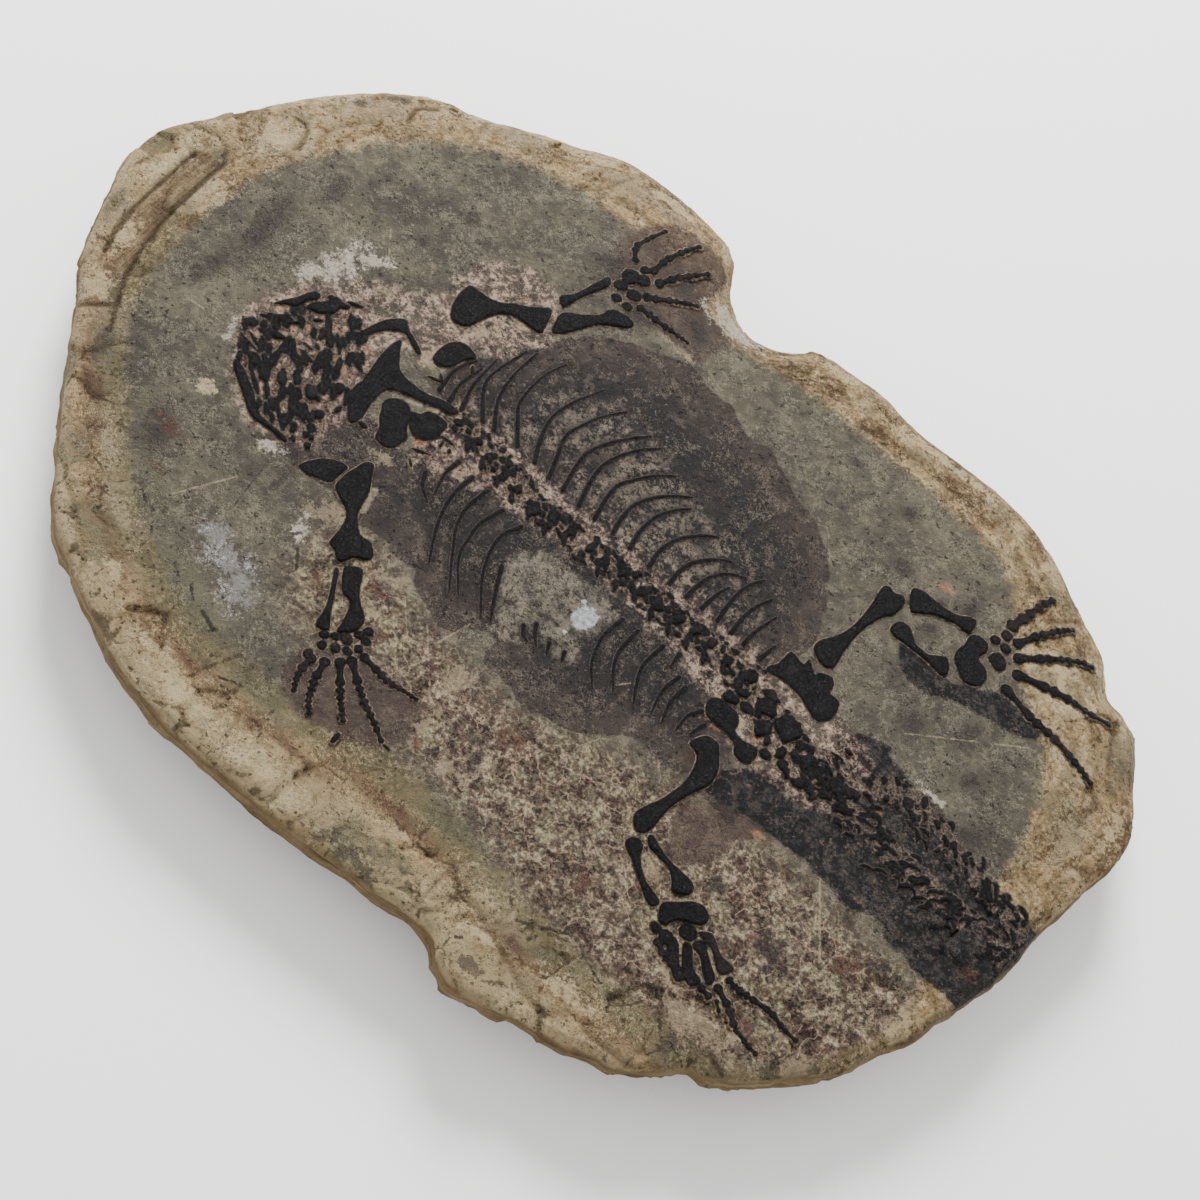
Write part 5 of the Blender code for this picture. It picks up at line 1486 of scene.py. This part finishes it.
class FOSSIL_OT_ribs(bpy.types.Operator):
    """Make the ribs and the loose rib pieces"""

    bl_idname = "fossil.ribs"
    bl_label = "Ribs"

    def execute(self, context):
        look = context.scene.fossil_bones
        rng = random.Random(look.seed + 3)
        high = look.rib_height / MM
        for side, ribs in RIBS.items():
            for number, points in enumerate(ribs, 1):
                node = f"rib_{side}_{number:02d}"
                shapes = [rib_shape(points, high, rng)]
                if node == LOOSE_RIB_NODE:
                    shapes += [rib_shape(loose, high, rng) for loose in LOOSE_RIBS]
                add_bones(f"{node}_bone", shapes, node)
        return {"FINISHED"}


def rib_shape(points, high, rng):
    line = smooth_line(points, 4)
    last = len(line) - 1
    radii = []
    for i in range(len(line)):
        share = i / last
        radii.append((0.62 - 0.32 * share) * rng.uniform(0.94, 1.06) * (0.75 if i == last else 1.0))
    return Shape(line, high, radii, 0.5 * rng.random(), 0.0)


class FOSSIL_OT_hands(bpy.types.Operator):
    """Make the small bones of the hands and feet"""

    bl_idname = "fossil.hands"
    bl_label = "Hands and Feet"

    def execute(self, context):
        look = context.scene.fossil_bones
        rng = random.Random(look.seed + 4)
        high = look.plate_height / MM
        groups = {
            "hand_far": (FAR_HAND, FAR_HAND_CARPALS),
            "foot_far": (FAR_FOOT, FAR_FOOT_TARSALS),
            "hand_near": (NEAR_HAND, NEAR_HAND_CARPALS),
            "foot_near": (NEAR_FOOT, NEAR_FOOT_TARSALS),
        }
        for node, (digits, wrist) in groups.items():
            shapes = digit_shapes(digits, high, rng)
            shapes += [lump(*bone, high, rng) for bone in wrist]
            if node == "foot_near":
                shapes += [Shape(smooth_loop(plate, 3), high, None, rng.random())
                           for plate in NEAR_FOOT_PLATES]
            add_bones(f"{node}_bones", shapes, node)
        return {"FINISHED"}


class FOSSIL_OT_spine(bpy.types.Operator):
    """Make the vertebrae of the trunk, and the crushed bones of the tail"""

    bl_idname = "fossil.spine"
    bl_label = "Spine and Tail"

    def execute(self, context):
        look = context.scene.fossil_bones
        rng = random.Random(look.seed + 5)
        add_bones("vertebrae", trunk_shapes(rng), "vertebral_column", SPINE_ROUGHNESS)
        add_bones("tail_bones", tail_shapes(rng), "tail", SPINE_ROUGHNESS)
        return {"FINISHED"}


def trunk_shapes(rng):
    """Crushed bone along the spine, with a larger piece and a process at each vertebra."""
    shapes = [Crush(TRUNK_BAND, 1.8, 1.6, -40.0, 0.6, 0.9, rng, 0.5)]
    for k in range(VERTEBRAE):
        x = FIRST_VERTEBRA + VERTEBRA_STEP * k
        y = 12.0 - 5.2 * min(max((x + 50.0) / 32.0, 0.0), 1.0)
        half = 2.0 + 1.5 * min(max((x + 50.0) / 26.0, 0.0), 1.0)
        shapes.append(lump(x + rng.uniform(-0.8, 0.8), y + rng.uniform(-0.8, 0.8), 1.6,
                           half * 0.6, 0.9, rng, 7, 0.42))
        for _ in range(3):
            sliver_x = x + rng.uniform(-3.0, 3.0)
            sliver_y = y + rng.choice((-1, 1)) * half * rng.uniform(0.9, 1.3)
            shapes.append(spindle(sliver_x, sliver_y, sliver_x + rng.uniform(1.0, 2.6),
                                  sliver_y + rng.uniform(-1.4, 0.8), rng.uniform(0.4, 0.7),
                                  rng.uniform(0.4, 0.9), rng.random(), 0.3))
        low = y - half - rng.uniform(0.8, 2.6)
        shapes.append(spindle(x - 1.2, y - half * 0.6, x + 1.0, low, 0.8, 0.8, rng.random(), 0.3))
    return shapes


def tail_shapes(rng):
    """Sacrum lumps, then two strands of crushed vertebrae with bowed scales between them."""
    shapes = [lump(*bone, 0.9, rng, 11, 0.26) for bone in SACRUM]
    shapes.append(Crush(HIP_BAND, 2.0, 1.8, -35.0, 0.36, 0.8, rng, 0.5))
    shapes.append(Crush(UPPER_STRAND, 1.7, 1.8, -50.0, 0.3, 0.9, rng, 0.3))
    shapes.append(Crush(LOWER_STRAND, 1.7, 1.8, 30.0, 0.3, 0.9, rng, 0.3))
    for k in range(TAIL_SCALES):
        x = TAIL_START + TAIL_LENGTH * (k / (TAIL_SCALES - 1)) ** 0.9
        spread = min(max((x - 92.0) / 16.0, 0.0), 1.0)
        strand = rng.choice((-1, 1))
        middle = -3.6 + strand * 6.2 * spread - 2.4 * max(0.0, (x - 124.0) / 30.0)
        y = middle + rng.gauss(0.0, 1.0) * (3.6 - 1.0 * spread)
        angle = rng.gauss(-0.7, 0.4) if strand > 0 else rng.gauss(0.4, 0.5)
        reach = rng.uniform(0.9, 2.1)
        points = []
        for share in (-1.0, -0.4, 0.4, 1.0):
            bow = rng.uniform(0.4, 0.8) * (1.0 - share * share)
            points.append((x + reach * share * math.cos(angle) - bow * math.sin(angle),
                           y + reach * share * math.sin(angle) + bow * math.cos(angle)))
        wide = rng.uniform(0.4, 0.7)
        shapes.append(Shape(points, rng.uniform(0.5, 1.0), [wide * 0.4, wide, wide, wide * 0.5],
                            rng.random(), 0.1))
    return shapes


class FOSSIL_OT_slab(bpy.types.Operator):
    """Make the rock slab's surface"""

    bl_idname = "fossil.slab"
    bl_label = "Rock Slab"

    def execute(self, context):
        piece = make_slab(context.scene.fossil_slab)
        settle(piece, rock_material(), ROCK_SLOT, "slab")
        return {"FINISHED"}


class FOSSIL_OT_stage(bpy.types.Operator):
    """Make the floor, the soft studio light and the camera"""

    bl_idname = "fossil.stage"
    bl_label = "Studio"

    def execute(self, context):
        look = context.scene.fossil_stage
        bm = bmesh.new()
        bmesh.ops.create_grid(bm, x_segments=1, y_segments=1, size=look.floor_size / 2.0)
        floor = place_piece("studio_floor", bm)
        paper = bpy.data.materials.new("studio_paper")
        paper.use_nodes = True
        surface = paper.node_tree.nodes["Principled BSDF"]
        surface.inputs["Base Color"].default_value = (*look.floor_colour, 1.0)
        surface.inputs["Roughness"].default_value = 0.9
        floor.data.materials.append(paper)
        world = bpy.data.worlds.new("studio_air")
        context.scene.world = world
        world.use_nodes = True
        air = world.node_tree.nodes["Background"]
        air.inputs["Color"].default_value = (1.0, 1.0, 1.0, 1.0)
        air.inputs["Strength"].default_value = look.sky_strength
        make_light("key_light", KEY_PLACE, KEY_SIZE, look.key_power)
        make_camera()
        return {"FINISHED"}


def make_light(name, place, size, power):
    lamp = bpy.data.lights.new(name, "AREA")
    lamp.shape = "DISK"
    lamp.size = size
    lamp.energy = power
    holder = bpy.data.objects.new(name, lamp)
    holder.location = place
    holder.rotation_euler = Vector(place).to_track_quat("Z", "Y").to_euler()
    bpy.context.scene.collection.objects.link(holder)


def make_camera():
    azimuth = math.radians(CAMERA_AZIMUTH)
    elevation = math.radians(CAMERA_ELEVATION)
    roll = math.radians(CAMERA_ROLL)
    back = Vector((math.sin(azimuth) * math.cos(elevation),
                   -math.cos(azimuth) * math.cos(elevation), math.sin(elevation)))
    level = Vector((math.cos(azimuth), math.sin(azimuth), 0.0))
    upright = back.cross(level)
    right = level * math.cos(roll) + upright * math.sin(roll)
    up = upright * math.cos(roll) - level * math.sin(roll)
    place = (Vector(CAMERA_TARGET) + back * CAMERA_DISTANCE) * MM
    camera = bpy.data.cameras.new("photo_camera")
    camera.lens = CAMERA_LENS
    camera.sensor_width = SENSOR_WIDTH
    camera.clip_start = 0.01
    holder = bpy.data.objects.new("photo_camera", camera)
    turn = Matrix((right, up, back)).transposed().to_4x4()
    holder.matrix_world = Matrix.Translation(place) @ turn
    bpy.context.scene.collection.objects.link(holder)
    bpy.context.scene.camera = holder


class FOSSIL_PT_panel(bpy.types.Panel):
    bl_label = "Fossil Reptile Slab"
    bl_idname = "FOSSIL_PT_panel"
    bl_space_type = "VIEW_3D"
    bl_region_type = "UI"
    bl_category = "Fossil"

    def draw(self, context):
        for operator in OPERATORS:
            self.layout.operator(operator.bl_idname)
        scene = context.scene
        for group in (scene.fossil_bones, scene.fossil_slab, scene.fossil_stage):
            box = self.layout.box()
            for name in group.__annotations__:
                box.prop(group, name)


OPERATORS = (
    FOSSIL_OT_limbs, FOSSIL_OT_girdles, FOSSIL_OT_skull, FOSSIL_OT_ribs, FOSSIL_OT_hands,
    FOSSIL_OT_spine, FOSSIL_OT_slab, FOSSIL_OT_stage,
)
CLASSES = (BoneProperties, SlabProperties, StageProperties, *OPERATORS, FOSSIL_PT_panel)


def register():
    for cls in CLASSES:
        bpy.utils.register_class(cls)
    bpy.types.Scene.fossil_bones = PointerProperty(type=BoneProperties)
    bpy.types.Scene.fossil_slab = PointerProperty(type=SlabProperties)
    bpy.types.Scene.fossil_stage = PointerProperty(type=StageProperties)


def unregister():
    del bpy.types.Scene.fossil_stage
    del bpy.types.Scene.fossil_slab
    del bpy.types.Scene.fossil_bones
    for cls in reversed(CLASSES):
        bpy.utils.unregister_class(cls)


def main():
    register()
    bpy.ops.fossil.limbs()
    bpy.ops.fossil.girdles()
    bpy.ops.fossil.skull()
    bpy.ops.fossil.ribs()
    bpy.ops.fossil.hands()
    bpy.ops.fossil.spine()
    bpy.ops.fossil.slab()
    bpy.ops.fossil.stage()


if __name__ == "__main__":
    main()
